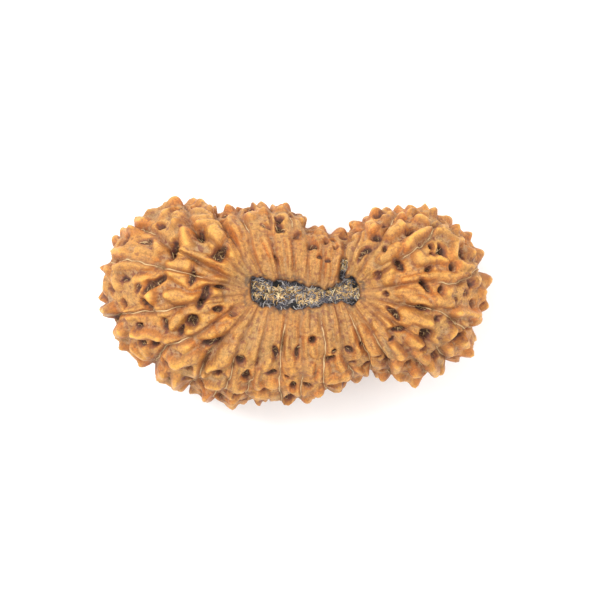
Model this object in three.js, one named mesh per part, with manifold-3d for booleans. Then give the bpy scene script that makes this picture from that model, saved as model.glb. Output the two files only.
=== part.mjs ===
// The stone of a rudraksha fruit, dried and cleaned. It is one woody body, kidney-shaped in
// plan and lying flat. Seams run over it like the lines of a melon, from a long mouth on the
// upper face round to its twin underneath. Between two seams the shell is a raised net of waxy
// lumps and ridges round deep pits, and next to the mouth it smooths out into narrow ribs.
// X runs along the stone, Y across it and Z up. It rests on z = 0. All lengths are in mm.
import * as THREE from "three";
import { mergeVertices } from "three/addons/utils/BufferGeometryUtils.js";
import Module from "manifold-3d";

// Half thicknesses, from the level of the girdle to the crown, before the relief is added
const WAIST_CROWN = 6.9;
const LOBE_CROWN = 8.2;
// The stone lies on the tips of its lowest lumps, worn flat at this depth below the girdle
const REST_DEPTH = 8.25;
// The middle of the whole stone in plan, in the frame of the numbers below
const MIDDLE_X = 0.13;
const MIDDLE_Y = -0.06;

// Where each seam crosses the girdle, the widest line of the stone: [x, y], anticlockwise
const GIRDLE = [
  [17.9, 2.6], [14.9, 7.3], [10.0, 8.4], [7.0, 7.8], [5.5, 6.5], [3.2, 6.7], [1.3, 7.1],
  [-0.4, 8.9], [-2.6, 9.0], [-5.5, 8.8], [-7.7, 8.4], [-11.3, 9.1], [-15.1, 6.9], [-17.5, 4.4],
  [-17.6, -1.3], [-13.9, -5.8], [-10.0, -7.7], [-7.5, -9.2], [-4.5, -9.3], [-1.6, -9.4],
  [0.6, -9.4], [3.1, -8.6], [5.5, -7.5], [7.5, -6.4], [9.8, -6.9], [12.9, -6.6], [15.0, -5.5],
  [17.3, -2.1],
];

// The section of the stone: how round its rim is in plan, and the two powers of its crown
const RIM_POWER = 1.25;
const CROWN_POWER = 2.6;
const CROWN_ROOT = 2.1;
// The seams wander: [share of a strip, waves round the girdle, turn along the seam, start]
const SEAM_WANDER = [[0.11, 9, 17, 0], [0.07, 24, -29, 1.3]];
// So do the lines across them: [share of the way between the mouths, waves, turn, start]
const LEVEL_WANDER = [[0.006, 20, 11, 2], [0.005, 41, -23, 0]];

// The mouths: the point between them, the half length over which the seams enter one, how far
// apart they enter it, the height of its lips above the girdle, how far from it the crown
// starts to dip, at the waist and as much more on a lobe, and how far it is sunk
const MOUTH_X = 1.05;
const MOUTH_Y = 0.95;
const MOUTH_REACH = 4.6;
const MOUTH_FAN = 7.0;
const LIP_LEVEL = 5.9;
const DIP_REACH = 2.6;
const LOBE_DIP_REACH = 1.2;
const MOUTH_DEPTH = 0.7;
// Its outline, left to right: [x, y of the middle line, half width]
const MOUTH_OUTLINE = [
  [-4.2, 1.4, 1.35], [-3.1, 0.95, 1.34], [-1.5, 0.69, 1.4], [-0.1, 0.62, 1.38],
  [0.7, 0.5, 1.17], [1.9, 0.52, 1.0], [2.8, 0.5, 0.75], [3.7, 0.67, 0.67], [4.55, 1.07, 1.0],
  [5.4, 1.07, 1.3], [6.3, 0.92, 0.68],
];
// The middle of the outline, and how far to each side of it the blunt ends start
const MOUTH_MIDDLE = 1.35;
const MOUTH_SPAN = 4.25;
// Its ragged edge: [depth, waves per mm, start]
const MOUTH_RAGS = [[0.09, 3.7, 0], [0.06, 7.9, 1]];
// A cleft that runs up from it between two ribs of the upper face, and its half width
const CLEFT_FROM = new THREE.Vector3(4.5, 2.2, 0);
const CLEFT_TO = new THREE.Vector3(4.75, 3.9, 0);
const CLEFT_HALF = 0.34;

// Mesh: spacing of the columns at the girdle, rows from mouth to mouth, and the share of the
// way that is left open at each end for the floor of the mouth
const COLUMN_PITCH = 0.8;
const ROWS = 44;
const FLOOR_SHARE = 0.02;

// Ribs beside the mouth: their pitch, wider on the lobes, their half width and their height,
// and how far from the middle of the mouth they start to flatten and are flattest
const RIB_PITCH = 1.2;
const LOBE_RIB_PITCH = 0.8;
const RIB_HALF = 0.34;
const RIB_HEIGHT = 0.25;
const RIB_FROM = 3.5;
const RIB_TO = 7.5;
// Each strip swells between its seams by this share of its width, more on the lobes, up to a limit
const SWELL = 0.07;
const LOBE_SWELL = 0.09;
const SWELL_LIMIT = 0.6;
const SEAM_WIDTH = 0.26;
const SEAM_DEPTH = 0.26;
// Lumps: the width of their flanks, the least gap between two that are set by chance, how near
// two of those are when a ridge joins them, and how far the foot of one reaches
const SHOULDER = 0.38;
const LUMP_GAP = 1.75;
const RIDGE_REACH = 2.9;
const KNOB_REACH = 1.7;
// How clear each lump and pit set by chance stays of the others and of the mouth
const LUMP_CLEAR = { ridge: 1.35, pit: 0.7, mouth: 2.9 };
const PIT_CLEAR = { ridge: 1, pit: 1.1, mouth: 2.4, lump: 0.8, web: 0.55 };
const WAIST_CLEAR = 2;
// Pits: the least gap between two set by chance, their reach, the share of the depth given that
// they sink, and how uneven their outlines are
const PIT_GAP = 1.7;
const PIT_REACH = 2;
const PIT_SINK = 0.85;
const PIT_RAGS = 0.3;
// How far noise moves the outlines of the relief, and how fast it varies
const SWAY = 0.34;
const SWAY_RATE = 0.75;
// The grain of the whole surface: [height, swells per mm]
const GRAIN = [[0.22, 0.45], [0.07, 2.2], [0.035, 5]];

const SEAMS = GIRDLE.length;
const TURN = (2 * Math.PI) / SEAMS;
// Step for measuring directions on the smooth stone
const STEP = 1e-3;

// The lumps and ridges of the upper face, seen from above: the two ends of each one's crest,
// its half width and its height, [x, y, x, y, half width, height]
const LUMPS = [
  // left lobe
  [-12.6, 8.2, -11.6, 8.5, 0.5, 0.6], [-10.9, 8.3, -8.3, 7.6, 0.32, 0.6],
  [-10, 8.8, -8, 8.5, 0.4, 0.55], [-7.6, 6.4, -7.4, 5.5, 0.55, 0.8],
  [-10.2, 6.4, -10.1, 5.3, 0.5, 0.8], [-9.2, 7.2, -7.8, 6.8, 0.32, 0.65],
  [-12.8, 5.5, -12.6, 4.6, 0.5, 0.7], [-14.7, 4.5, -13.2, 4.4, 0.32, 0.5],
  [-10.8, 4.5, -8.1, 4.2, 0.28, 0.8], [-6.4, 3.6, -6.1, 3.5, 1.05, 0.6],
  [-17, 4.5, -15, 4.3, 0.28, 0.55], [-16.8, 3.2, -15.2, 3.9, 0.28, 0.7],
  [-15.2, 3.9, -13.4, 3.5, 0.4, 0.85], [-17, 2.9, -16.6, 1.6, 0.28, 0.5],
  [-15, 2.4, -14.3, 2.5, 0.38, 0.5], [-11.5, 3.2, -10.3, 3.2, 0.75, 0.9],
  [-11, 2.4, -10.3, 1.7, 0.5, 0.85], [-8.8, 1.9, -6, 2.2, 0.28, 0.65],
  [-11.6, 0.4, -9.7, 0.1, 0.38, 1], [-13.6, 0.9, -13, 0.5, 0.38, 0.85],
  [-8.4, 0.6, -6.9, 0.6, 0.24, 0.6], [-6.3, 0.7, -4.6, 1, 0.14, 0.32],
  [-6.4, 1.9, -4.6, 1.7, 0.14, 0.3], [-18.2, -0.8, -17.2, -0.6, 0.35, 1.3],
  [-18.4, 1.2, -18.3, 2.2, 0.35, 0.4],
  [-15.6, -0.9, -14.8, -1.1, 0.4, 0.6], [-12.9, -1, -11.8, -0.9, 0.35, 0.6],
  [-16.6, -2.4, -16.2, -2.6, 0.4, 0.8], [-14.9, -2.7, -12.4, -3, 0.32, 0.9],
  [-11.6, -3.4, -9.9, -3.9, 0.6, 0.9], [-9.6, -2.9, -8.3, -2.7, 0.55, 0.9],
  [-11.3, -1.9, -10.9, -1.2, 0.3, 0.55], [-8.8, -1.7, -8, -1.5, 0.35, 0.6],
  [-11.3, -5, -9.2, -4.7, 0.48, 1], [-9, -5.6, -8.8, -6.3, 0.4, 0.7],
  [-15, -4.3, -14.5, -4.9, 0.4, 0.7], [-14.3, -3.4, -14.2, -4.6, 0.25, 0.5],
  [-10.9, -7, -10.9, -7.4, 0.4, 0.9], [-8.3, -6, -6.6, -5.3, 0.38, 0.7],
  [-7.9, -7.8, -6.4, -8, 0.38, 0.7], [-5.7, -6.4, -5.7, -7.9, 0.28, 0.7],
  [-5.1, -8.4, -4.2, -8.3, 0.28, 0.7], [-3.7, -6.5, -3.7, -7.9, 0.28, 0.6],
  [-6.9, -2.8, -5, -2.2, 0.24, 0.45], [-6.3, -4.6, -5, -3.9, 0.45, 0.5],
  [-8.6, -0.9, -6, -1.4, 0.18, 0.35], [-14.8, 8.4, -14.5, 8.1, 0.45, 0.9],
  // waist, upper edge
  [-4.3, 8.5, -4.1, 7.8, 0.5, 0.8], [-6.3, 7.8, -5, 4.8, 0.3, 0.5],
  [-4.1, 6.4, -3.4, 4.4, 0.26, 0.35], [-1, 8.2, -1, 7.9, 0.32, 0.6], [0, 7.6, 0.1, 6.9, 0.3, 0.75],
  [-2.1, 7.8, -2.5, 6.6, 0.24, 0.45], [-2.7, 6, -1.7, 3.8, 0.2, 0.45], [-0.7, 6, -0.5, 4, 0.2, 0.4],
  [0.6, 5.8, 0.5, 3.4, 0.2, 0.45], [1.5, 6.3, 1.8, 5.9, 0.36, 0.65],
  [2.5, 6.2, 3.1, 6.1, 0.34, 0.65], [1.3, 4.5, 1.2, 3, 0.18, 0.4], [2.7, 5.3, 2.2, 3.1, 0.18, 0.4],
  [3.5, 5.1, 3.3, 2.8, 0.18, 0.4], [4.6, 5.6, 4.6, 4.2, 0.2, 0.4], [5.5, 5.2, 5.4, 3.9, 0.2, 0.45],
  [6.3, 6.6, 6.2, 6.2, 0.3, 0.6], [7.4, 7.3, 7.5, 6.9, 0.34, 0.8], [6.4, 5.9, 6.1, 4.7, 0.22, 0.45],
  // waist, lower edge
  [-4.4, -2.6, -5.2, -3.4, 0.3, 0.35], [-2.9, -2.2, -4, -5.2, 0.28, 0.38],
  [-2.6, -5.4, -3, -6.1, 0.38, 0.55], [-1.3, -2.6, -1.5, -4, 0.2, 0.42],
  [-0.6, -3.8, -0.7, -5.8, 0.24, 0.6], [1, -3.3, 0.9, -5.6, 0.2, 0.42],
  [1.6, -1.8, 1.6, -2.8, 0.2, 0.4], [2, -4.1, 1.6, -5, 0.28, 0.55], [3, -2.8, 3.3, -4.6, 0.2, 0.45],
  [4, -2.2, 4.4, -4, 0.22, 0.4], [5.4, -2.8, 6.2, -5, 0.2, 0.4], [-2.2, -7.9, -1.4, -8, 0.34, 0.7],
  [-3.6, -8.8, -2.4, -9, 0.34, 0.6], [-6, -8.7, -5.6, -8.8, 0.4, 0.8],
  [0.6, -6.4, 1.6, -6.7, 0.34, 0.7], [-0.2, -6.4, -0.8, -6.2, 0.28, 0.55],
  [0.1, -8.7, 0.6, -8.8, 0.34, 0.6], [2.6, -6.2, 2.4, -7.2, 0.34, 0.7],
  [3.2, -7.3, 4.6, -7.2, 0.42, 0.8], [4.4, -5.7, 4.7, -6.3, 0.28, 0.6],
  [5.9, -6.4, 6.3, -6.6, 0.34, 0.7],
  // right lobe
  [9.9, 7.9, 10.6, 8, 0.45, 0.85], [8.6, 7.8, 9.2, 7.9, 0.28, 0.6],
  [12, 7.7, 12.3, 7.2, 0.42, 0.75], [14, 7.4, 14.4, 7.2, 0.42, 0.7],
  [10, 7.2, 10.2, 6.6, 0.28, 0.5], [9.2, 5.9, 10.4, 6.5, 0.34, 0.8],
  [10.4, 5.3, 12, 5.9, 0.36, 0.9], [12, 5.9, 14.1, 6.6, 0.34, 0.9],
  [14.1, 6.6, 15.2, 5.9, 0.28, 0.75], [8.4, 4.1, 9.7, 4.7, 0.36, 0.75],
  [8.9, 3.3, 9.1, 2.4, 0.45, 0.65], [7.2, 3.2, 7.6, 2, 0.26, 0.45],
  [11.3, 4.6, 11.5, 3.5, 0.45, 0.65], [10.9, 2.1, 13, 2.3, 0.26, 0.5],
  [12, 3.8, 14, 3.7, 0.24, 0.65], [15.6, 3.7, 17.2, 3.4, 0.34, 0.8],
  [15.3, 5.2, 15.3, 4.2, 0.26, 0.65], [15.4, 5.9, 15.6, 5.7, 0.36, 0.7],
  [16.8, 4.6, 17, 4.2, 0.34, 0.7], [13.4, 2.5, 16.2, 2.8, 0.24, 0.5],
  [17, 2.4, 17.6, 1.7, 0.34, 0.8], [13.7, 2, 14.6, 1.9, 0.38, 0.6], [14.7, 1, 15.4, 1.5, 0.34, 0.6],
  [11.4, 0.3, 12.2, 0, 0.34, 0.65], [10.4, 1.1, 11, 0.8, 0.38, 0.45],
  [13.4, 0.1, 14.5, -0.3, 0.34, 0.65], [14.9, -0.8, 17.2, -1.1, 0.38, 0.9],
  [13.2, -0.9, 14.4, -0.9, 0.26, 0.55], [17.4, -1.7, 17, -2.1, 0.4, 0.8],
  [15.6, -2, 16.3, -2.5, 0.26, 0.55], [10.6, -1, 12.4, -2, 0.34, 0.75],
  [7.9, 0, 9.2, -0.4, 0.22, 0.35], [8.2, -1.1, 9, -2.5, 0.28, 0.65],
  [10.1, -1.9, 10.8, -1.7, 0.38, 0.6], [11, -3.3, 11.8, -4, 0.45, 0.75],
  [7.8, -2.2, 9.4, -3.9, 0.18, 0.45], [9.5, -4.1, 10.4, -4.7, 0.45, 0.75],
  [11.6, -4.9, 12.5, -5.3, 0.4, 0.75], [12.8, -5.9, 13.6, -6.1, 0.36, 1.15],
  [12.9, -3.9, 13.5, -4.3, 0.28, 0.55], [14.5, -4.2, 14.9, -4.5, 0.36, 0.65],
  [15.9, -3.5, 16.2, -3.8, 0.34, 0.7], [14.1, -2.9, 14.8, -2.3, 0.28, 0.65],
  [9.7, -5.5, 9.9, -6.1, 0.36, 0.75], [11.6, -6.1, 12.2, -6.2, 0.42, 0.9],
  [7.9, -5.9, 8.3, -6, 0.3, 0.45], [7.5, -5.5, 7.9, -5.9, 0.3, 0.55],
  [6.4, -2.6, 7.8, -4.5, 0.18, 0.38],
];

// The pits of the upper face: [x, y, half width, half length, bearing in degrees, depth]
const PITS = [
  [-12.9, 7.4, 0.28, 0.55, -40, 1], [-10.9, 8.5, 0.25, 0.5, 90, 0.8],
  [-7.4, 7.5, 0.38, 0.45, 0, 1.1], [-9, 6.2, 0.36, 0.65, -75, 1.2], [-11.4, 5.2, 0.4, 1, -85, 1.3],
  [-7.3, 4.4, 0.4, 0.85, 25, 1.1], [-13.9, 5.5, 0.45, 0.5, 0, 0.4],
  [-16.1, 2.4, 0.32, 0.5, -10, 0.6], [-13.2, 2, 0.36, 1.4, 38, 0.9],
  [-14.7, 1.5, 0.28, 0.6, 35, 0.5], [-13.9, -0.2, 0.36, 0.8, -48, 1.1],
  [-16.2, -0.4, 0.26, 0.42, -55, 1], [-14.2, -1.9, 0.26, 0.36, 50, 1],
  [-12.2, -2.1, 0.26, 0.5, -70, 0.8], [-9.8, -1.8, 0.5, 0.6, 10, 1.3],
  [-10.6, -2.6, 0.28, 0.5, 60, 0.6], [-7.2, -0.8, 0.28, 0.45, 10, 0.9],
  [-14.6, -3.2, 0.25, 0.5, -15, 0.6], [-13.4, -4.1, 0.3, 0.45, 35, 1],
  [-12.2, -5.6, 0.26, 0.48, -85, 0.9], [-10.2, -5.7, 0.25, 0.5, 10, 0.8],
  [-10, -7.2, 0.3, 0.4, 0, 0.9], [-7.2, -6.8, 0.34, 0.4, 0, 1], [-4.7, -7.2, 0.28, 0.6, 80, 1],
  [-7.6, -3.7, 0.34, 1.4, 17, 0.9], [-3.6, -1.9, 0.15, 0.5, 60, 0.5],
  [-9.6, 2.3, 0.26, 0.8, 80, 0.6], [-9, 0.1, 0.36, 1, 80, 0.7], [-7, 1.3, 0.18, 1.1, 3, 0.6],
  [-1.3, 7.7, 0.3, 0.32, 0, 0.8], [-1.6, 7.1, 0.36, 0.4, 0, 0.9], [-3.1, 7.2, 0.2, 0.4, -40, 0.4],
  [0.1, 6.2, 0.22, 0.25, 0, 0.6], [-2, 4.2, 0.2, 0.4, -75, 0.6], [2.4, 4.2, 0.25, 0.27, 0, 0.8],
  [1.8, 5.2, 0.32, 0.42, 40, 0.7], [2.9, 5.8, 0.2, 0.22, 0, 0.5], [3.8, 5.8, 0.2, 0.24, 0, 0.5],
  [4, 4.9, 0.2, 0.25, 0, 0.5], [3.4, 3.9, 0.16, 0.2, 0, 0.5], [-1.6, -4.9, 0.22, 0.75, -70, 0.7],
  [1.9, -3.3, 0.3, 0.36, 30, 0.8], [0.3, -4.9, 0.14, 0.7, 75, 0.5], [3.5, -5.4, 0.36, 0.4, 0, 1],
  [3.9, -4.8, 0.2, 0.25, 0, 0.5], [-2.2, -6.9, 0.3, 0.4, 20, 0.6],
  [-0.8, -7.1, 0.2, 0.26, -30, 0.7], [1.2, -7.8, 0.28, 0.5, -50, 0.9],
  [-0.2, -8.2, 0.26, 0.5, 80, 1], [-2.8, -8.5, 0.34, 0.4, 0, 1], [-5.2, -8.8, 0.3, 0.5, 10, 0.8],
  [5.8, -5.7, 0.3, 0.34, 0, 0.8], [5.3, -4.4, 0.22, 0.3, 0, 0.6], [6.8, -6, 0.24, 0.6, 55, 0.8],
  [8.6, 7.3, 0.25, 0.45, 85, 1], [9.4, 6.8, 0.3, 0.4, 60, 1], [7.5, 6.2, 0.25, 0.4, 0, 0.9],
  [10.7, 7.5, 0.28, 0.5, 10, 0.9], [11.3, 6.2, 0.34, 0.6, 30, 1.2],
  [13.3, 7.2, 0.34, 0.45, 70, 0.9], [8.7, 5.2, 0.22, 0.4, -70, 0.8], [6.9, 4.5, 0.24, 1, 55, 0.7],
  [12.9, 5.2, 0.28, 0.4, 80, 1.1], [14.2, 4.5, 0.42, 0.6, 60, 1.1], [12.9, 4.1, 0.28, 0.3, 0, 1],
  [16.1, 4.3, 0.4, 0.55, -10, 1.1], [14.7, 3.3, 0.3, 0.5, 15, 1], [8, 2.8, 0.3, 0.4, 70, 0.9],
  [10.1, 3.4, 0.28, 0.8, -60, 1], [12.4, 3, 0.28, 0.4, 10, 0.9], [12.4, 1.2, 0.28, 0.95, -38, 1],
  [14, 1.2, 0.16, 0.4, 75, 0.7], [17.1, 1.5, 0.28, 0.3, 0, 0.8], [16.1, 0.8, 0.34, 0.5, 20, 0.4],
  [15.1, 0.2, 0.2, 0.3, -60, 0.6], [16.9, -0.4, 0.3, 0.5, -15, 1],
  [12.4, -0.6, 0.18, 0.5, -10, 0.7], [9.4, -1.2, 0.28, 0.85, -50, 1],
  [10, -2.6, 0.22, 0.6, 12, 0.8], [9, -3.3, 0.2, 0.3, 20, 0.6], [12.7, -2.8, 0.45, 0.7, -55, 1.2],
  [15.2, -3.2, 0.34, 0.6, 15, 1.1], [12.3, -4.2, 0.24, 0.4, 10, 0.8],
  [13.7, -5, 0.36, 0.5, -50, 1.1], [11.1, -5.6, 0.28, 0.4, 50, 0.9],
  [8.9, -5.5, 0.26, 0.6, 75, 0.8], [7.8, -4.9, 0.18, 0.5, 40, 0.6], [6.6, -4.1, 0.18, 0.25, 0, 0.5],
  [13.6, -1.7, 0.26, 0.5, 20, 0.6],
];

// Repeatable chance, 0 to 1, from three numbers
function chance(a, b, c) {
  const x = Math.sin(a * 127.1 + b * 311.7 + c * 74.7 + 0.5) * 43758.5453;
  return x - Math.floor(x);
}

// 0 below `from`, 1 above `to`, and smooth between
function ramp(from, to, x) {
  const t = Math.min(Math.max((x - from) / (to - from), 0), 1);
  return t * t * (3 - 2 * t);
}

// Smooth noise, -1 to 1, one unit to a swell
function noise(x, y, z) {
  const cell = [x, y, z].map(Math.floor);
  const [fx, fy, fz] = [x - cell[0], y - cell[1], z - cell[2]].map((f) => f * f * (3 - 2 * f));
  let sum = 0;
  for (let corner = 0; corner < 8; corner++) {
    const [i, j, k] = [corner >> 2, (corner >> 1) & 1, corner & 1];
    const weight = (i ? fx : 1 - fx) * (j ? fy : 1 - fy) * (k ? fz : 1 - fz);
    sum += weight * chance(cell[0] + i, cell[1] + j, cell[2] + k);
  }
  return sum * 2 - 1;
}

// A point moved a little by noise, which makes the outline of every lump and pit uneven
function sway(p) {
  const [x, y, z] = p.toArray().map((c) => c * SWAY_RATE);
  return new THREE.Vector3(
    p.x + SWAY * noise(x + 11.3, y + 11.3, z + 11.3),
    p.y + SWAY * noise(x + 47.1, y + 47.1, z + 47.1),
    p.z + SWAY * noise(x + 83.9, y + 83.9, z + 83.9),
  );
}

// The girdle at seam number u: a smooth closed curve through its points
function girdleAt(u) {
  const k = Math.floor(u);
  const f = u - k;
  const [a, b, c, d] = [-1, 0, 1, 2].map((i) => GIRDLE[(k + i + SEAMS) % SEAMS]);
  return [0, 1].map(
    (i) =>
      b[i] +
      (f * (c[i] - a[i]) +
        f ** 2 * (2 * a[i] - 5 * b[i] + 4 * c[i] - d[i]) +
        f ** 3 * (3 * b[i] - a[i] - 3 * c[i] + d[i])) /
        2,
  );
}

// How far out on a lobe this x is: 0 at the waist, 1 on the lobe
function lobeShare(x) {
  return ramp(2, 12, Math.abs(x - MOUTH_X));
}

// How far a seam or a level wanders here: the sum of its waves
function wander(waves, u, t) {
  const swings = waves.map(([size, rate, turn, start]) => {
    return size * Math.sin(rate * TURN * u + turn * t + start);
  });
  return swings[0] + swings[1];
}

// The smooth stone under the relief. u counts seams round the girdle, and t goes from the
// upper mouth (0) over the girdle (0.5) to the lower one (1). The seams wander a little.
function stoneAt(u, t) {
  const swing = Math.sin(Math.PI * t);
  const [du, dt] = [wander(SEAM_WANDER, u, t), wander(LEVEL_WANDER, u, t)];
  const [x, y] = girdleAt((u + du * swing + SEAMS) % SEAMS);
  const s = Math.min(Math.abs(Math.sin(Math.PI * (t + dt * swing))) ** RIM_POWER, 1);
  const lobe = lobeShare(x);
  const start = MOUTH_X + MOUTH_REACH * Math.tanh((x - MOUTH_X) / MOUTH_FAN);
  const inward = (s * Math.hypot(x - start, y - MOUTH_Y)) / (DIP_REACH + LOBE_DIP_REACH * lobe);
  const crown = WAIST_CROWN + (LOBE_CROWN - WAIST_CROWN) * lobe;
  const dip = (crown - LIP_LEVEL) * Math.exp(-(inward ** 2));
  const height = crown * (1 - s ** CROWN_POWER) ** (1 / CROWN_ROOT) - dip;
  const side = t + dt * swing < 0.5 ? 1 : -1;
  const p = new THREE.Vector3(start + (x - start) * s, MOUTH_Y + (y - MOUTH_Y) * s, side * height);
  return { p, lobe };
}

// A place on the smooth stone: its point, its directions outward, along the seams and across
// them, the number of its strip of shell, and its share of the way across the strip
function spotAt(place, t) {
  const u = (place + SEAMS) % SEAMS;
  const { p, lobe } = stoneAt(u, t);
  const across = stoneAt(u + STEP, t).p.sub(stoneAt(u - STEP, t).p).normalize();
  const along = stoneAt(u, t + STEP).p.sub(stoneAt(u, t - STEP).p).normalize();
  const out = new THREE.Vector3().crossVectors(along, across).normalize();
  const strip = Math.floor(u + 1e-6);
  const share = Math.max(u - strip, 0);
  return { u, t, p, lobe, across, along, out, strip, share };
}

// Linear reading of one column of the mouth's outline at this x
function mouthRead(x, column) {
  const last = MOUTH_OUTLINE.length - 1;
  if (x <= MOUTH_OUTLINE[0][0]) return MOUTH_OUTLINE[0][column];
  if (x >= MOUTH_OUTLINE[last][0]) return MOUTH_OUTLINE[last][column];
  const i = MOUTH_OUTLINE.findIndex((row) => row[0] > x);
  const [a, b] = [MOUTH_OUTLINE[i - 1], MOUTH_OUTLINE[i]];
  return a[column] + ((b[column] - a[column]) * (x - a[0])) / (b[0] - a[0]);
}

// Distance in plan from the middle line of the mouth, measured so that its ends are blunt
function mouthGap(p) {
  const beyond = Math.max(Math.abs(p.x - MOUTH_MIDDLE) - MOUTH_SPAN, 0);
  return (beyond ** 4 + (p.y - mouthRead(p.x, 1)) ** 4) ** 0.25;
}

// Half width of the mouth at this x, with its ragged edge
function mouthHalf(x) {
  const rags = MOUTH_RAGS.map(([size, rate, start]) => size * Math.sin(x * rate + start));
  return rags.reduce((sum, rag) => sum + rag, mouthRead(x, 2));
}

// Distance from q to the straight line between a and b
function lineGap(q, a, b) {
  const ab = b.clone().sub(a);
  const share = q.clone().sub(a).dot(ab) / (ab.lengthSq() + 1e-9);
  return a.clone().addScaledVector(ab, Math.min(Math.max(share, 0), 1)).distanceTo(q);
}

// The share u of each column of the mesh: every seam has one, with others spaced between
function columnsOf() {
  return GIRDLE.flatMap((a, k) => {
    const b = GIRDLE[(k + 1) % SEAMS];
    const count = Math.max(4, Math.floor(Math.hypot(b[0] - a[0], b[1] - a[1]) / COLUMN_PITCH + 0.5));
    return Array.from({ length: count }, (_, i) => k + i / count);
  });
}

// Places taken from the mesh in a shuffled order, each kept if it is `gap` clear of the
// ones kept before it and `free` allows it
function scatter(spots, salt, gap, free) {
  const order = spots
    .map((spot) => ({ spot, rank: chance(spot.p.x * 3.7, spot.p.y * 5.3, spot.p.z * 7.9 + salt) }))
    .sort((a, b) => b.rank - a.rank);
  const kept = [];
  for (const { spot } of order) {
    if (free(spot.p) && kept.every((other) => other.p.distanceTo(spot.p) >= gap)) kept.push(spot);
  }
  return kept;
}

// Every lump, ridge and pit of the shell: those of the upper face as listed, and the rest by
// chance where the list leaves room
function featuresOf(spots) {
  const upper = spots.filter((spot) => spot.t < 0.5);
  // The place right under (x, y), and the higher one where the side is steep
  const above = (x, y) => {
    const drops = upper.map(({ p }) => 0.02 * (LOBE_CROWN - p.z) ** 2);
    const misses = upper.map(({ p }, i) => (p.x - x) ** 2 + (p.y - y) ** 2 + drops[i]);
    return upper[misses.indexOf(Math.min(...misses))];
  };
  const ridges = LUMPS.map(([x1, y1, x2, y2, half, height]) => {
    return { a: above(x1, y1).p, b: above(x2, y2).p, half, height };
  });
  const pits = PITS.map(([x, y, half, long, bearing, depth]) => {
    const { p, out } = above(x, y);
    const angle = THREE.MathUtils.degToRad(bearing);
    const axis = new THREE.Vector3(Math.cos(angle), Math.sin(angle), 0).projectOnPlane(out).normalize();
    return { p, axis, half, long, depth };
  });
  const listedRidges = [...ridges];
  const listedPits = [...pits];
  const ridgeClear = (q, gap) => listedRidges.every(({ a, b }) => lineGap(q, a, b) > gap);
  const pitClear = (q, gap) => listedPits.every(({ p, long }) => p.distanceTo(q) - long > gap);
  const inside = (margin) => (spot) =>
    spot.share > 1e-6 && mouthGap(spot.p) > margin + WAIST_CLEAR * (1 - spot.lobe);

  const roomy = (q) => ridgeClear(q, LUMP_CLEAR.ridge) && pitClear(q, LUMP_CLEAR.pit);
  const lumps = scatter(spots.filter(inside(LUMP_CLEAR.mouth)), 1, LUMP_GAP, roomy);
  const joined = [];
  lumps.forEach((lump, i) => {
    const near = lumps
      .map((other, j) => ({ j, gap: other.p.distanceTo(lump.p) }))
      .filter(({ j }) => j !== i)
      .sort((a, b) => a.gap - b.gap)
      .slice(0, 6)
      .filter(({ j, gap }) => gap < RIDGE_REACH && lumps[j].strip === lump.strip)
      .slice(0, 2);
    for (const { j } of near) {
      if (!joined.some(([m, n]) => m === j && n === i)) joined.push([i, j]);
    }
  });
  const webs = joined.map(([i, j]) => ({ a: lumps[i].p, b: lumps[j].p }));
  const holes = scatter(
    spots.filter(inside(PIT_CLEAR.mouth)),
    9,
    PIT_GAP,
    (q) =>
      lumps.every(({ p }) => p.distanceTo(q) > PIT_CLEAR.lump) &&
      webs.every(({ a, b }) => lineGap(q, a, b) > PIT_CLEAR.web) &&
      ridgeClear(q, PIT_CLEAR.ridge) &&
      pitClear(q, PIT_CLEAR.pit),
  );

  const knobs = lumps.map(({ p }) => {
    return { p, height: 0.25 + 0.4 * chance(p.x, p.y, 4), half: 0.55 + 0.35 * chance(p.y, p.z, 5) };
  });
  for (const { a, b } of webs) {
    const half = 0.18 + 0.22 * chance(b.x, a.y, 12);
    ridges.push({ a, b, half, height: 0.42 + 0.26 * chance(a.x, b.x, 2) });
  }
  for (const { p, along, across, lobe } of holes) {
    const tilt = (chance(p.x, p.z, 8) - 0.5) * 2.2 * lobe;
    const axis = along.clone().multiplyScalar(Math.cos(tilt)).addScaledVector(across, Math.sin(tilt));
    const half = 0.24 + 0.26 * chance(p.x, p.y, 6);
    const long = half * (1 + 2.2 * chance(p.y, p.z, 7) ** 2);
    pits.push({ p, axis, half, long, depth: 0.5 + 0.8 * chance(p.z, p.x, 3) });
  }
  return {
    ridges: ridges.map(({ a, b, half, height }) => {
      const [from, to] = [sway(a), sway(b)];
      const middle = from.clone().lerp(to, 0.5);
      const reach = from.distanceTo(to) / 2 + half + SHOULDER;
      return { a: from, b: to, half, height, middle, reach };
    }),
    knobs: knobs.map((knob) => ({ ...knob, p: sway(knob.p) })),
    pits: pits.map((pit) => ({ ...pit, p: sway(pit.p) })),
  };
}

// Height of a lump at distance d from its crest: a flat top and a steep flank
function mesa(d, half) {
  const m = Math.min(d / (half + SHOULDER), 1);
  return (1 - m ** 2.4) ** 1.4;
}

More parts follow.
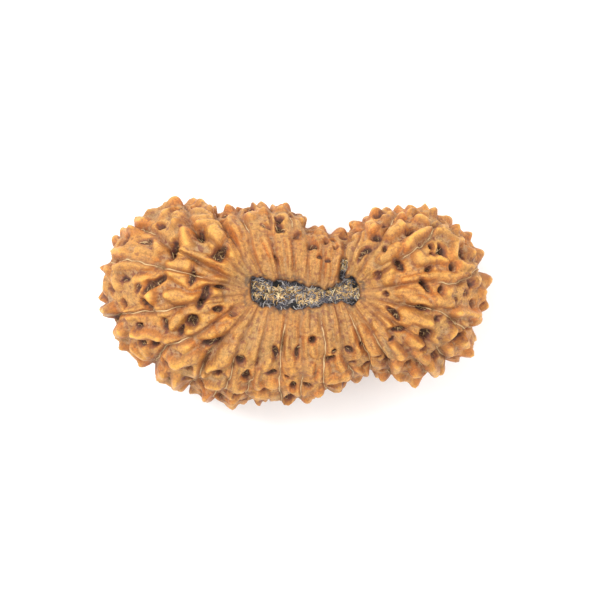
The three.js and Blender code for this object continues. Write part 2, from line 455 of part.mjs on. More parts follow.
// How far the shell stands out from the smooth stone at a spot, at its finest
function reliefAt(spot, { ridges, knobs, pits }) {
  const { t, p, lobe, strip, share } = spot;
  const width = stoneAt(strip + 1, t).p.distanceTo(stoneAt(strip, t).p);
  const beyond = mouthGap(p) - mouthHalf(p.x);
  const grown = ramp(0.6, 3.2, beyond);
  const swayed = sway(p);

  // Each strip is a soft pillow between its two seams
  const fullness = 0.75 + 0.5 * chance(strip % SEAMS, 3, 1);
  const swell = Math.min(SWELL_LIMIT, (SWELL + LOBE_SWELL * lobe) * width);
  const arch = (4 * share * (1 - share) + 1e-9) ** 0.6;
  let height = fullness * swell * arch * ramp(0, 2, beyond);

  // Narrow ribs run outward from the mouth, each with its own height, and bend a little
  const [q, r] = [girdleAt(strip), girdleAt((strip + 1) % SEAMS)];
  const girth = Math.hypot(r[0] - q[0], r[1] - q[1]);
  const ribs = Math.max(1, Math.floor(girth / (RIB_PITCH + LOBE_RIB_PITCH * lobe) + 0.5));
  const bent = ribs * (share + 0.5 * share * (1 - share) * Math.sin(9 * t + 5 * strip));
  const number = Math.min(Math.floor(bent), ribs - 1);
  const crestShare = 0.3 + 0.4 * chance(strip % SEAMS, number, 8);
  const offCrest = ((bent - number - crestShare) * width) / ribs / RIB_HALF;
  const rib = Math.exp(-(Math.abs(offCrest) ** 1.6)) * (0.3 + chance(strip % SEAMS, number, 5));
  const [fadeFrom, fadeTo] = [2.4 - 1.4 * lobe, 4.6 - 2.1 * lobe];
  const ribZone = ramp(0, 0.5, beyond) * (1 - ramp(fadeFrom, fadeTo, beyond)) * ramp(2, 5, Math.abs(p.z));
  const ribShare = 1 - 0.75 * ramp(RIB_FROM, RIB_TO, Math.abs(p.x - MOUTH_X));
  height += RIB_HEIGHT * ribShare * rib * ribZone;

  // The raised net of lumps and ridges, and the pits in it
  let crest = 0;
  for (const { a, b, half, height: top, middle, reach } of ridges) {
    if (swayed.distanceTo(middle) >= reach) continue;
    crest = Math.max(crest, top * mesa(lineGap(swayed, a, b), half));
  }
  let peak = 0;
  for (const { p: middle, height: top, half } of knobs) {
    const d = swayed.distanceTo(middle);
    if (d >= KNOB_REACH) continue;
    peak = Math.max(peak, 0.5 * mesa(d, 0.4) + top * Math.exp(-((d / half) ** 1.6)));
  }
  let hole = 0;
  let sunk = 0;
  const rags = 1 + PIT_RAGS * noise(p.x * 1.6, p.y * 1.6, p.z * 1.6);
  for (const { p: middle, axis, half, long, depth } of pits) {
    const off = swayed.clone().sub(middle);
    if (off.length() > PIT_REACH) continue;
    const lengthwise = off.dot(axis);
    const sideways = Math.sqrt(Math.max(off.lengthSq() - lengthwise ** 2, 0));
    const bowl = 1 - ramp(0.55, 1.45, Math.hypot(sideways / half, lengthwise / long) * rags);
    hole = Math.max(hole, bowl * Math.min(1, depth));
    sunk = Math.max(sunk, bowl * depth);
  }
  const net = (crest ** 4 + peak ** 4) ** 0.25 * (1 - PIT_SINK * hole) * (0.72 + 0.28 * lobe);
  height += (net - PIT_SINK * sunk) * grown;

  // Seams, the sunk mouth, and the grain of the whole surface
  const seam = Math.exp(-(((Math.min(share, 1 - share) * width) / SEAM_WIDTH) ** 2));
  const seamShare = 0.4 - 0.25 * lobe + (0.3 + 0.55 * lobe) * ramp(1, 4, beyond);
  height -= SEAM_DEPTH * seam * seamShare * ramp(0.1, 1, beyond);
  const cleftGap = lineGap(new THREE.Vector3(p.x, p.y, 0), CLEFT_FROM, CLEFT_TO);
  const cleft = p.z > 0 ? 1 - ramp(0.5 * CLEFT_HALF, 1.3 * CLEFT_HALF, cleftGap) : 0;
  const mouth = Math.max(1 - ramp(-0.25, 0.1, beyond), cleft);
  height -= MOUTH_DEPTH * mouth;
  const grain = GRAIN.map(([size, rate]) => size * noise(p.x * rate, p.y * rate, p.z * rate));
  return height + (grain[0] + grain[1] + grain[2]) * (1 + 1.5 * mouth);
}

// The relief at a place of the mesh, evened out over half a step each way, so that what is
// finer than the mesh doesn't turn into spikes
function evenRelief(u, t, du, dt, features) {
  const at = (i, j) => reliefAt(spotAt(u + (i * du) / 2, t + (j * dt) / 2), features);
  return (2 * at(0, 0) + at(1, 0) + at(-1, 0) + at(0, 1) + at(0, -1)) / 6;
}

// The closed skin: columns by rows of points, with a flat floor in each mouth
function skinOf() {
  const columns = columnsOf();
  const rowStep = (1 - 2 * FLOOR_SHARE) / ROWS;
  const rowShares = Array.from({ length: ROWS + 1 }, (_, j) => FLOOR_SHARE + j * rowStep);
  const spots = columns.flatMap((u) => rowShares.map((t) => spotAt(u, t)));
  const features = featuresOf(spots);
  const points = spots.map(({ u, t, p, out }) => {
    const columnStep = 1 / columns.filter((other) => Math.floor(other) === Math.floor(u)).length;
    return p.clone().addScaledVector(out, evenRelief(u, t, columnStep, rowStep, features));
  });

  const rows = ROWS + 1;
  const at = (i, j) => (i % columns.length) * rows + j;
  const faces = [];
  columns.forEach((_, i) => {
    for (let j = 0; j < ROWS; j++) {
      faces.push([at(i, j), at(i, j + 1), at(i + 1, j + 1)]);
      faces.push([at(i, j), at(i + 1, j + 1), at(i + 1, j)]);
    }
  });
  for (const [j, turned] of [[0, false], [ROWS, true]]) {
    const ring = columns.map((_, i) => new THREE.Vector2(spots[at(i, j)].p.x, spots[at(i, j)].p.y));
    for (const [a, b, c] of THREE.ShapeUtils.triangulateShape(ring, [])) {
      faces.push(turned ? [at(a, j), at(c, j), at(b, j)] : [at(a, j), at(b, j), at(c, j)]);
    }
  }
  return new THREE.BufferGeometry().setFromPoints(points).setIndex(faces.flat());
}

const wasm = await Module();
wasm.setup();

// A closed mesh as a solid that can be cut
function solidFrom(geometry) {
  const bare = geometry.clone();
  bare.deleteAttribute("normal");
  bare.deleteAttribute("uv");
  const merged = mergeVertices(bare);
  const vertProperties = merged.attributes.position.array;
  const triVerts = new Uint32Array(merged.index.array);
  return new wasm.Manifold(new wasm.Mesh({ numProp: 3, vertProperties, triVerts }));
}

// The seed worn flat where it lies, and moved so that it lies on z = 0 with its middle at the
// origin. What is worn away is all that reaches into a wide slab under it.
function wornSeed() {
  const [wide, thick] = [60, 10];
  const under = new THREE.BoxGeometry(wide, wide, thick);
  under.translate(0, 0, -REST_DEPTH - thick / 2);
  const { vertProperties, triVerts } = solidFrom(skinOf()).subtract(solidFrom(under)).getMesh();
  const seed = new THREE.BufferGeometry();
  seed.setAttribute("position", new THREE.BufferAttribute(vertProperties, 3));
  seed.setIndex(new THREE.BufferAttribute(triVerts, 1));
  seed.translate(-MIDDLE_X, -MIDDLE_Y, REST_DEPTH);
  seed.computeVertexNormals();
  return seed;
}

const shell = new THREE.MeshStandardMaterial({ color: 0xc98f58, roughness: 0.55, metalness: 0 });
const seed = new THREE.Mesh(wornSeed(), shell);
seed.name = "rudraksha_seed";

const group = new THREE.Group();
group.add(seed);

export default group;
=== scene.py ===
import math

import bmesh
import bpy
import numpy as np
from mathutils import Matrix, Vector
from mathutils.geometry import tessellate_polygon


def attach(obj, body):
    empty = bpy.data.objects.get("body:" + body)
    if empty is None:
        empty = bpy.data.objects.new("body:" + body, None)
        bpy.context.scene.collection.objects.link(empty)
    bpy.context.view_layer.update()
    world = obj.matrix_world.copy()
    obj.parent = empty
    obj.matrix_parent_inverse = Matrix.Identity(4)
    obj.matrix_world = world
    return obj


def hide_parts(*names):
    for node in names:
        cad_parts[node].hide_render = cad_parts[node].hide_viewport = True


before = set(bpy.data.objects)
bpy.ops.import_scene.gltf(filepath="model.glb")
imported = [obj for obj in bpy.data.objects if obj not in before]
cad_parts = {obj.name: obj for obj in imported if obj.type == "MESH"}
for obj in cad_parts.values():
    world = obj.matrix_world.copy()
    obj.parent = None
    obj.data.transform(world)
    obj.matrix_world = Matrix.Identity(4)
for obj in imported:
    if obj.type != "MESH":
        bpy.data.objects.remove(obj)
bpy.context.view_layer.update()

# The stone of a rudraksha fruit: one woody shell grown in twenty-eight strips side by side, with a
# seam between each two and a fibrous mouth above and below. It is taken whole from the fruit,
# washed and dried, and it lies loose on its lowest lumps. Lengths are in mm until a mesh is made.
MM = 0.001
# Half thickness at the waist and on the lobes, and the depth at which the lowest lumps are worn flat
WAIST_CROWN = 6.9
LOBE_CROWN = 8.2
REST_DEPTH = 8.25
# The place among the numbers below that is the part's own origin
MIDDLE = np.array([0.13, -0.06, -REST_DEPTH])
# Where each seam crosses the girdle, the widest line of the stone: (x, y), anticlockwise
GIRDLE = [
    (17.9, 2.6), (14.9, 7.3), (10.0, 8.4), (7.0, 7.8), (5.5, 6.5), (3.2, 6.7), (1.3, 7.1),
    (-0.4, 8.9), (-2.6, 9.0), (-5.5, 8.8), (-7.7, 8.4), (-11.3, 9.1), (-15.1, 6.9), (-17.5, 4.4),
    (-17.6, -1.3), (-13.9, -5.8), (-10.0, -7.7), (-7.5, -9.2), (-4.5, -9.3), (-1.6, -9.4),
    (0.6, -9.4), (3.1, -8.6), (5.5, -7.5), (7.5, -6.4), (9.8, -6.9), (12.9, -6.6), (15.0, -5.5),
    (17.3, -2.1),
]
SEAMS = len(GIRDLE)
TURN = 2 * math.pi / SEAMS
# The seams wander: (share of a strip, waves round the girdle, turn along the seam, start)
SEAM_WANDER = [(0.11, 9, 17, 0), (0.07, 24, -29, 1.3)]
# So do the levels across them: (share of the way from mouth to mouth, waves, turn, start)
LEVEL_WANDER = [(0.006, 20, 11, 2), (0.005, 41, -23, 0)]
# The middle of the mouth, and the distances from it at which the waist ends and a lobe is full
MOUTH_X = 1.05
MOUTH_Y = 0.95
WAIST_END = 2
LOBE_START = 12
# The half length of mouth that the seams run into, and the girdle's x over which they fan out
MOUTH_REACH = 4.6
MOUTH_FAN = 7.0
# The section from mouth to girdle: how fast it leaves the mouth, and the crown's two powers
RIM_POWER = 1.25
CROWN_POWER = 2.6
CROWN_ROOT = 2.1
# The lips' height, and how far from them the crown dips, at the waist and as much more on a lobe
LIP_LEVEL = 5.9
DIP_REACH = 2.6
LOBE_DIP_REACH = 1.2
# The step that gives the directions of the smooth stone
STEP = 1e-3


def ramp(low, high, x):
    """0 below low, 1 above high, and smooth between."""
    t = np.clip((x - low) / (high - low), 0, 1)
    return t * t * (3 - 2 * t)


def unit(v):
    """Vectors brought to length one."""
    return v / np.linalg.norm(v, axis=1)[:, None]


def girdle_at(u):
    """The girdle at seam numbers u: a smooth closed curve through its points."""
    points = np.array(GIRDLE)
    k = np.floor(u).astype(int)
    f = (u - k)[:, None]
    a, b, c, d = (points[(k + i) % SEAMS] for i in (-1, 0, 1, 2))
    return b + (f * (c - a) + f ** 2 * (2 * a - 5 * b + 4 * c - d) + f ** 3 * (3 * b - a - 3 * c + d)) / 2


def wander(waves, u, t):
    """How far the seams or the levels wander: the sum of their waves."""
    return sum(size * np.sin(rate * TURN * u + turn * t + start) for size, rate, turn, start in waves)


def stone_at(u, t):
    """The smooth stone: u counts seams, t goes from the upper mouth over the girdle to the lower one."""
    swing = np.sin(math.pi * t)
    x, y = girdle_at((u + wander(SEAM_WANDER, u, t) * swing + SEAMS) % SEAMS).T
    level = t + wander(LEVEL_WANDER, u, t) * swing
    s = np.minimum(np.abs(np.sin(math.pi * level)) ** RIM_POWER, 1)
    lobe = ramp(WAIST_END, LOBE_START, np.abs(x - MOUTH_X))
    start = MOUTH_X + MOUTH_REACH * np.tanh((x - MOUTH_X) / MOUTH_FAN)
    inward = s * np.hypot(x - start, y - MOUTH_Y) / (DIP_REACH + LOBE_DIP_REACH * lobe)
    crown = WAIST_CROWN + (LOBE_CROWN - WAIST_CROWN) * lobe
    dip = (crown - LIP_LEVEL) * np.exp(-(inward ** 2))
    height = crown * (1 - s ** CROWN_POWER) ** (1 / CROWN_ROOT) - dip
    side = np.where(level < 0.5, 1, -1)
    return np.column_stack([start + (x - start) * s, MOUTH_Y + (y - MOUTH_Y) * s, side * height]), lobe


def spots_at(place, t):
    """Places on the smooth stone: points, directions, strips of shell and shares across them."""
    u = (place + SEAMS) % SEAMS
    p, lobe = stone_at(u, t)
    across = unit(stone_at(u + STEP, t)[0] - stone_at(u - STEP, t)[0])
    along = unit(stone_at(u, t + STEP)[0] - stone_at(u, t - STEP)[0])
    strip = np.floor(u + 1e-6)
    return dict(
        u=u, t=t, p=p, lobe=lobe, across=across, along=along, out=unit(np.cross(along, across)),
        strip=strip, share=np.maximum(u - strip, 0),
    )


# The solid's lattice: the columns' pitch, the fewest to a strip, the rows from mouth to mouth, and the
# share of the way left at each end for a mouth's floor
COLUMN_PITCH = 0.8
STRIP_COLUMNS = 4
ROWS = 44
FLOOR_SHARE = 0.02


def lattice(finer):
    """Spots so many times finer than the solid's, column by column, and how many columns and rows."""
    us = []
    for k in range(SEAMS):
        chord = math.dist(GIRDLE[k], GIRDLE[(k + 1) % SEAMS])
        count = max(STRIP_COLUMNS, math.floor(chord / COLUMN_PITCH + 0.5)) * finer
        us += [k + i / count for i in range(count)]
    ts = FLOOR_SHARE + np.arange(ROWS * finer + 1) * ((1 - 2 * FLOOR_SHARE) / (ROWS * finer))
    u, t = np.meshgrid(us, ts, indexing="ij")
    return spots_at(u.ravel(), t.ravel()), len(us), len(ts)


# The mouth's outline, left to right: (x, y of its middle line, half width)
MOUTH_OUTLINE = np.array([
    (-4.2, 1.4, 1.35), (-3.1, 0.95, 1.34), (-1.5, 0.69, 1.4), (-0.1, 0.62, 1.38), (0.7, 0.5, 1.17),
    (1.9, 0.52, 1.0), (2.8, 0.5, 0.75), (3.7, 0.67, 0.67), (4.55, 1.07, 1.0), (5.4, 1.07, 1.3),
    (6.3, 0.92, 0.68),
])
# Its middle, how far to each side of that its blunt ends start, and its ragged edge: (depth, rate, start)
MOUTH_MIDDLE = 1.35
MOUTH_SPAN = 4.25
MOUTH_RAGS = [(0.09, 3.7, 0), (0.06, 7.9, 1)]
# How far the mouth is sunk, and how far inside and outside its edge the wall lies
MOUTH_DEPTH = 0.7
MOUTH_WALL = (-0.25, 0.1)
# The cleft that runs up from the mouth between two ribs, its half width, and its wall in shares of that
CLEFT_FROM = np.array([4.5, 2.2])
CLEFT_TO = np.array([4.75, 3.9])
CLEFT_HALF = 0.34
CLEFT_WALL = (0.5, 1.3)


def off_middle(p):
    """Distance in plan from the middle line of the mouth, straight across it."""
    return np.abs(p[:, 1] - np.interp(p[:, 0], MOUTH_OUTLINE[:, 0], MOUTH_OUTLINE[:, 1]))


def mouth_gap(p):
    """Distance in plan from the middle line of the mouth, round its blunt ends too."""
    beyond = np.maximum(np.abs(p[:, 0] - MOUTH_MIDDLE) - MOUTH_SPAN, 0)
    return (beyond ** 4 + off_middle(p) ** 4) ** 0.25


def mouth_half(x):
    """Half width of the mouth, with its ragged edge."""
    half = np.interp(x, MOUTH_OUTLINE[:, 0], MOUTH_OUTLINE[:, 2])
    return half + sum(depth * np.sin(x * rate + start) for depth, rate, start in MOUTH_RAGS)


def line_gap(q, a, b):
    """Distances from points q to the line between a and b (q and a, b broadcast)."""
    ab = b - a
    share = ((q - a) * ab).sum(-1) / ((ab * ab).sum(-1) + 1e-9)
    return np.linalg.norm(a + ab * np.clip(share, 0, 1)[..., None] - q, axis=-1)


def mouth_at(p, beyond):
    """1 in the mouths and in the cleft, 0 outside them."""
    low, high = (CLEFT_HALF * share for share in CLEFT_WALL)
    cleft = np.where(p[:, 2] > 0, 1 - ramp(low, high, line_gap(p[:, :2], CLEFT_FROM, CLEFT_TO)), 0)
    return np.maximum(1 - ramp(*MOUTH_WALL, beyond), cleft)


# Noise moves the outlines of the relief: how far, how fast it varies, and a seed for each direction
SWAY = 0.34
SWAY_RATE = 0.75
SWAY_SEEDS = (11.3, 47.1, 83.9)


def chance(a, b, c):
    """Repeatable chance, 0 to 1, from three numbers; the last is often a fixed seed."""
    x = np.sin(a * 127.1 + b * 311.7 + c * 74.7 + 0.5) * 43758.5453
    return x - np.floor(x)


def drawn(span, a, b, c):
    """A size drawn by chance from a span: the least that it can be, and how much more."""
    return span[0] + span[1] * chance(a, b, c)


def noise(p):
    """Smooth noise, -1 to 1, one unit to a swell."""
    cell = np.floor(p)
    f = p - cell
    f = f * f * (3 - 2 * f)
    total = np.zeros(len(p))
    for corner in np.ndindex(2, 2, 2):
        total += np.where(corner, f, 1 - f).prod(axis=1) * chance(*(cell + corner).T)
    return total * 2 - 1


def sway(p):
    """Points moved a little by noise, which makes the outline of every lump and pit uneven."""
    return p + SWAY * np.column_stack([noise(p * SWAY_RATE + seed) for seed in SWAY_SEEDS])


# Ribs beside the mouth: pitch, as much more on a lobe, half width, height and bend; then, by chance,
# where in its place the crest of each lies and how strong it is
RIB_PITCH = 1.2
LOBE_RIB_PITCH = 0.8
RIB_HALF = 0.34
RIB_HEIGHT = 0.25
RIB_BEND = 0.5
RIB_PLACE = (0.3, 0.4)
RIB_STRENGTH = (0.3, 1.0)
# Where they start and fade beyond the mouth, as much less on a lobe, the heights over which they start,
# and from where to where from the mouth's middle they flatten, by what share
RIB_START = 0.5
RIB_FADE = (2.4, 4.6)
LOBE_RIB_LESS = (1.4, 2.1)
RIB_LEVELS = (2, 5)
RIB_FROM = 3.5
RIB_TO = 7.5
RIB_FLATTER = 0.75
# The power by which a rib falls away from its crest, and a knob from its tip
FALL_POWER = 1.6


def ribs_at(spots, width, beyond):
    """Height of the narrow ribs that run out from the mouth."""
    strip, share, lobe = spots["strip"], spots["share"], spots["lobe"]
    girth = np.linalg.norm(girdle_at((strip + 1) % SEAMS) - girdle_at(strip), axis=1)
    ribs = np.maximum(1, np.floor(girth / (RIB_PITCH + LOBE_RIB_PITCH * lobe) + 0.5))
    bent = ribs * (share + RIB_BEND * share * (1 - share) * np.sin(9 * spots["t"] + 5 * strip))
    number = np.minimum(np.floor(bent), ribs - 1)
    off_crest = (bent - number - drawn(RIB_PLACE, strip % SEAMS, number, 8)) * width / ribs / RIB_HALF
    rib = np.exp(-np.abs(off_crest) ** FALL_POWER) * drawn(RIB_STRENGTH, strip % SEAMS, number, 5)
    low, high = (far - less * lobe for far, less in zip(RIB_FADE, LOBE_RIB_LESS))
    zone = ramp(0, RIB_START, beyond) * (1 - ramp(low, high, beyond))
    middle = 1 - RIB_FLATTER * ramp(RIB_FROM, RIB_TO, np.abs(spots["p"][:, 0] - MOUTH_X))
    return RIB_HEIGHT * middle * rib * zone * ramp(*RIB_LEVELS, np.abs(spots["p"][:, 2]))


# Lumps and ridges of the upper face, by the ends of their crests: (x, y, x, y, half width, height)
LUMPS = [
    # left lobe
    (-12.6, 8.2, -11.6, 8.5, 0.5, 0.6), (-10.9, 8.3, -8.3, 7.6, 0.32, 0.6),
    (-10, 8.8, -8, 8.5, 0.4, 0.55), (-7.6, 6.4, -7.4, 5.5, 0.55, 0.8), (-10.2, 6.4, -10.1, 5.3, 0.5, 0.8),
    (-9.2, 7.2, -7.8, 6.8, 0.32, 0.65), (-12.8, 5.5, -12.6, 4.6, 0.5, 0.7),
    (-14.7, 4.5, -13.2, 4.4, 0.32, 0.5), (-10.8, 4.5, -8.1, 4.2, 0.28, 0.8),
    (-6.4, 3.6, -6.1, 3.5, 1.05, 0.6), (-17, 4.5, -15, 4.3, 0.28, 0.55),
    (-16.8, 3.2, -15.2, 3.9, 0.28, 0.7), (-15.2, 3.9, -13.4, 3.5, 0.4, 0.85),
    (-17, 2.9, -16.6, 1.6, 0.28, 0.5), (-15, 2.4, -14.3, 2.5, 0.38, 0.5),
    (-11.5, 3.2, -10.3, 3.2, 0.75, 0.9), (-11, 2.4, -10.3, 1.7, 0.5, 0.85),
    (-8.8, 1.9, -6, 2.2, 0.28, 0.65), (-11.6, 0.4, -9.7, 0.1, 0.38, 1),
    (-13.6, 0.9, -13, 0.5, 0.38, 0.85), (-8.4, 0.6, -6.9, 0.6, 0.24, 0.6),
    (-6.3, 0.7, -4.6, 1, 0.14, 0.32), (-6.4, 1.9, -4.6, 1.7, 0.14, 0.3),
    (-18.2, -0.8, -17.2, -0.6, 0.35, 1.3), (-18.4, 1.2, -18.3, 2.2, 0.35, 0.4),
    (-15.6, -0.9, -14.8, -1.1, 0.4, 0.6), (-12.9, -1, -11.8, -0.9, 0.35, 0.6),
    (-16.6, -2.4, -16.2, -2.6, 0.4, 0.8), (-14.9, -2.7, -12.4, -3, 0.32, 0.9),
    (-11.6, -3.4, -9.9, -3.9, 0.6, 0.9), (-9.6, -2.9, -8.3, -2.7, 0.55, 0.9),
    (-11.3, -1.9, -10.9, -1.2, 0.3, 0.55), (-8.8, -1.7, -8, -1.5, 0.35, 0.6),
    (-11.3, -5, -9.2, -4.7, 0.48, 1), (-9, -5.6, -8.8, -6.3, 0.4, 0.7),
    (-15, -4.3, -14.5, -4.9, 0.4, 0.7), (-14.3, -3.4, -14.2, -4.6, 0.25, 0.5),
    (-10.9, -7, -10.9, -7.4, 0.4, 0.9), (-8.3, -6, -6.6, -5.3, 0.38, 0.7),
    (-7.9, -7.8, -6.4, -8, 0.38, 0.7), (-5.7, -6.4, -5.7, -7.9, 0.28, 0.7),
    (-5.1, -8.4, -4.2, -8.3, 0.28, 0.7), (-3.7, -6.5, -3.7, -7.9, 0.28, 0.6),
    (-6.9, -2.8, -5, -2.2, 0.24, 0.45), (-6.3, -4.6, -5, -3.9, 0.45, 0.5),
    (-8.6, -0.9, -6, -1.4, 0.18, 0.35), (-14.8, 8.4, -14.5, 8.1, 0.45, 0.9),
    # waist, upper edge
    (-4.3, 8.5, -4.1, 7.8, 0.5, 0.8), (-6.3, 7.8, -5, 4.8, 0.3, 0.5), (-4.1, 6.4, -3.4, 4.4, 0.26, 0.35),
    (-1, 8.2, -1, 7.9, 0.32, 0.6), (0, 7.6, 0.1, 6.9, 0.3, 0.75), (-2.1, 7.8, -2.5, 6.6, 0.24, 0.45),
    (-2.7, 6, -1.7, 3.8, 0.2, 0.45), (-0.7, 6, -0.5, 4, 0.2, 0.4), (0.6, 5.8, 0.5, 3.4, 0.2, 0.45),
    (1.5, 6.3, 1.8, 5.9, 0.36, 0.65), (2.5, 6.2, 3.1, 6.1, 0.34, 0.65), (1.3, 4.5, 1.2, 3, 0.18, 0.4),
    (2.7, 5.3, 2.2, 3.1, 0.18, 0.4), (3.5, 5.1, 3.3, 2.8, 0.18, 0.4), (4.6, 5.6, 4.6, 4.2, 0.2, 0.4),
    (5.5, 5.2, 5.4, 3.9, 0.2, 0.45), (6.3, 6.6, 6.2, 6.2, 0.3, 0.6), (7.4, 7.3, 7.5, 6.9, 0.34, 0.8),
    (6.4, 5.9, 6.1, 4.7, 0.22, 0.45),
    # waist, lower edge
    (-4.4, -2.6, -5.2, -3.4, 0.3, 0.35), (-2.9, -2.2, -4, -5.2, 0.28, 0.38),
    (-2.6, -5.4, -3, -6.1, 0.38, 0.55), (-1.3, -2.6, -1.5, -4, 0.2, 0.42),
    (-0.6, -3.8, -0.7, -5.8, 0.24, 0.6), (1, -3.3, 0.9, -5.6, 0.2, 0.42),
    (1.6, -1.8, 1.6, -2.8, 0.2, 0.4), (2, -4.1, 1.6, -5, 0.28, 0.55), (3, -2.8, 3.3, -4.6, 0.2, 0.45),
    (4, -2.2, 4.4, -4, 0.22, 0.4), (5.4, -2.8, 6.2, -5, 0.2, 0.4), (-2.2, -7.9, -1.4, -8, 0.34, 0.7),
    (-3.6, -8.8, -2.4, -9, 0.34, 0.6), (-6, -8.7, -5.6, -8.8, 0.4, 0.8),
    (0.6, -6.4, 1.6, -6.7, 0.34, 0.7), (-0.2, -6.4, -0.8, -6.2, 0.28, 0.55),
    (0.1, -8.7, 0.6, -8.8, 0.34, 0.6), (2.6, -6.2, 2.4, -7.2, 0.34, 0.7),
    (3.2, -7.3, 4.6, -7.2, 0.42, 0.8), (4.4, -5.7, 4.7, -6.3, 0.28, 0.6),
    (5.9, -6.4, 6.3, -6.6, 0.34, 0.7),
    # right lobe
    (9.9, 7.9, 10.6, 8, 0.45, 0.85), (8.6, 7.8, 9.2, 7.9, 0.28, 0.6), (12, 7.7, 12.3, 7.2, 0.42, 0.75),
    (14, 7.4, 14.4, 7.2, 0.42, 0.7), (10, 7.2, 10.2, 6.6, 0.28, 0.5), (9.2, 5.9, 10.4, 6.5, 0.34, 0.8),
    (10.4, 5.3, 12, 5.9, 0.36, 0.9), (12, 5.9, 14.1, 6.6, 0.34, 0.9), (14.1, 6.6, 15.2, 5.9, 0.28, 0.75),
    (8.4, 4.1, 9.7, 4.7, 0.36, 0.75), (8.9, 3.3, 9.1, 2.4, 0.45, 0.65), (7.2, 3.2, 7.6, 2, 0.26, 0.45),
    (11.3, 4.6, 11.5, 3.5, 0.45, 0.65), (10.9, 2.1, 13, 2.3, 0.26, 0.5), (12, 3.8, 14, 3.7, 0.24, 0.65),
    (15.6, 3.7, 17.2, 3.4, 0.34, 0.8), (15.3, 5.2, 15.3, 4.2, 0.26, 0.65),
    (15.4, 5.9, 15.6, 5.7, 0.36, 0.7), (16.8, 4.6, 17, 4.2, 0.34, 0.7), (13.4, 2.5, 16.2, 2.8, 0.24, 0.5),
    (17, 2.4, 17.6, 1.7, 0.34, 0.8), (13.7, 2, 14.6, 1.9, 0.38, 0.6), (14.7, 1, 15.4, 1.5, 0.34, 0.6),
    (11.4, 0.3, 12.2, 0, 0.34, 0.65), (10.4, 1.1, 11, 0.8, 0.38, 0.45),
    (13.4, 0.1, 14.5, -0.3, 0.34, 0.65), (14.9, -0.8, 17.2, -1.1, 0.38, 0.9),
    (13.2, -0.9, 14.4, -0.9, 0.26, 0.55), (17.4, -1.7, 17, -2.1, 0.4, 0.8),
    (15.6, -2, 16.3, -2.5, 0.26, 0.55), (10.6, -1, 12.4, -2, 0.34, 0.75), (7.9, 0, 9.2, -0.4, 0.22, 0.35),
    (8.2, -1.1, 9, -2.5, 0.28, 0.65), (10.1, -1.9, 10.8, -1.7, 0.38, 0.6),
    (11, -3.3, 11.8, -4, 0.45, 0.75), (7.8, -2.2, 9.4, -3.9, 0.18, 0.45),
    (9.5, -4.1, 10.4, -4.7, 0.45, 0.75), (11.6, -4.9, 12.5, -5.3, 0.4, 0.75),
    (12.8, -5.9, 13.6, -6.1, 0.36, 1.15), (12.9, -3.9, 13.5, -4.3, 0.28, 0.55),
    (14.5, -4.2, 14.9, -4.5, 0.36, 0.65), (15.9, -3.5, 16.2, -3.8, 0.34, 0.7),
    (14.1, -2.9, 14.8, -2.3, 0.28, 0.65), (9.7, -5.5, 9.9, -6.1, 0.36, 0.75),
    (11.6, -6.1, 12.2, -6.2, 0.42, 0.9), (7.9, -5.9, 8.3, -6, 0.3, 0.45),
    (7.5, -5.5, 7.9, -5.9, 0.3, 0.55), (6.4, -2.6, 7.8, -4.5, 0.18, 0.38),
]
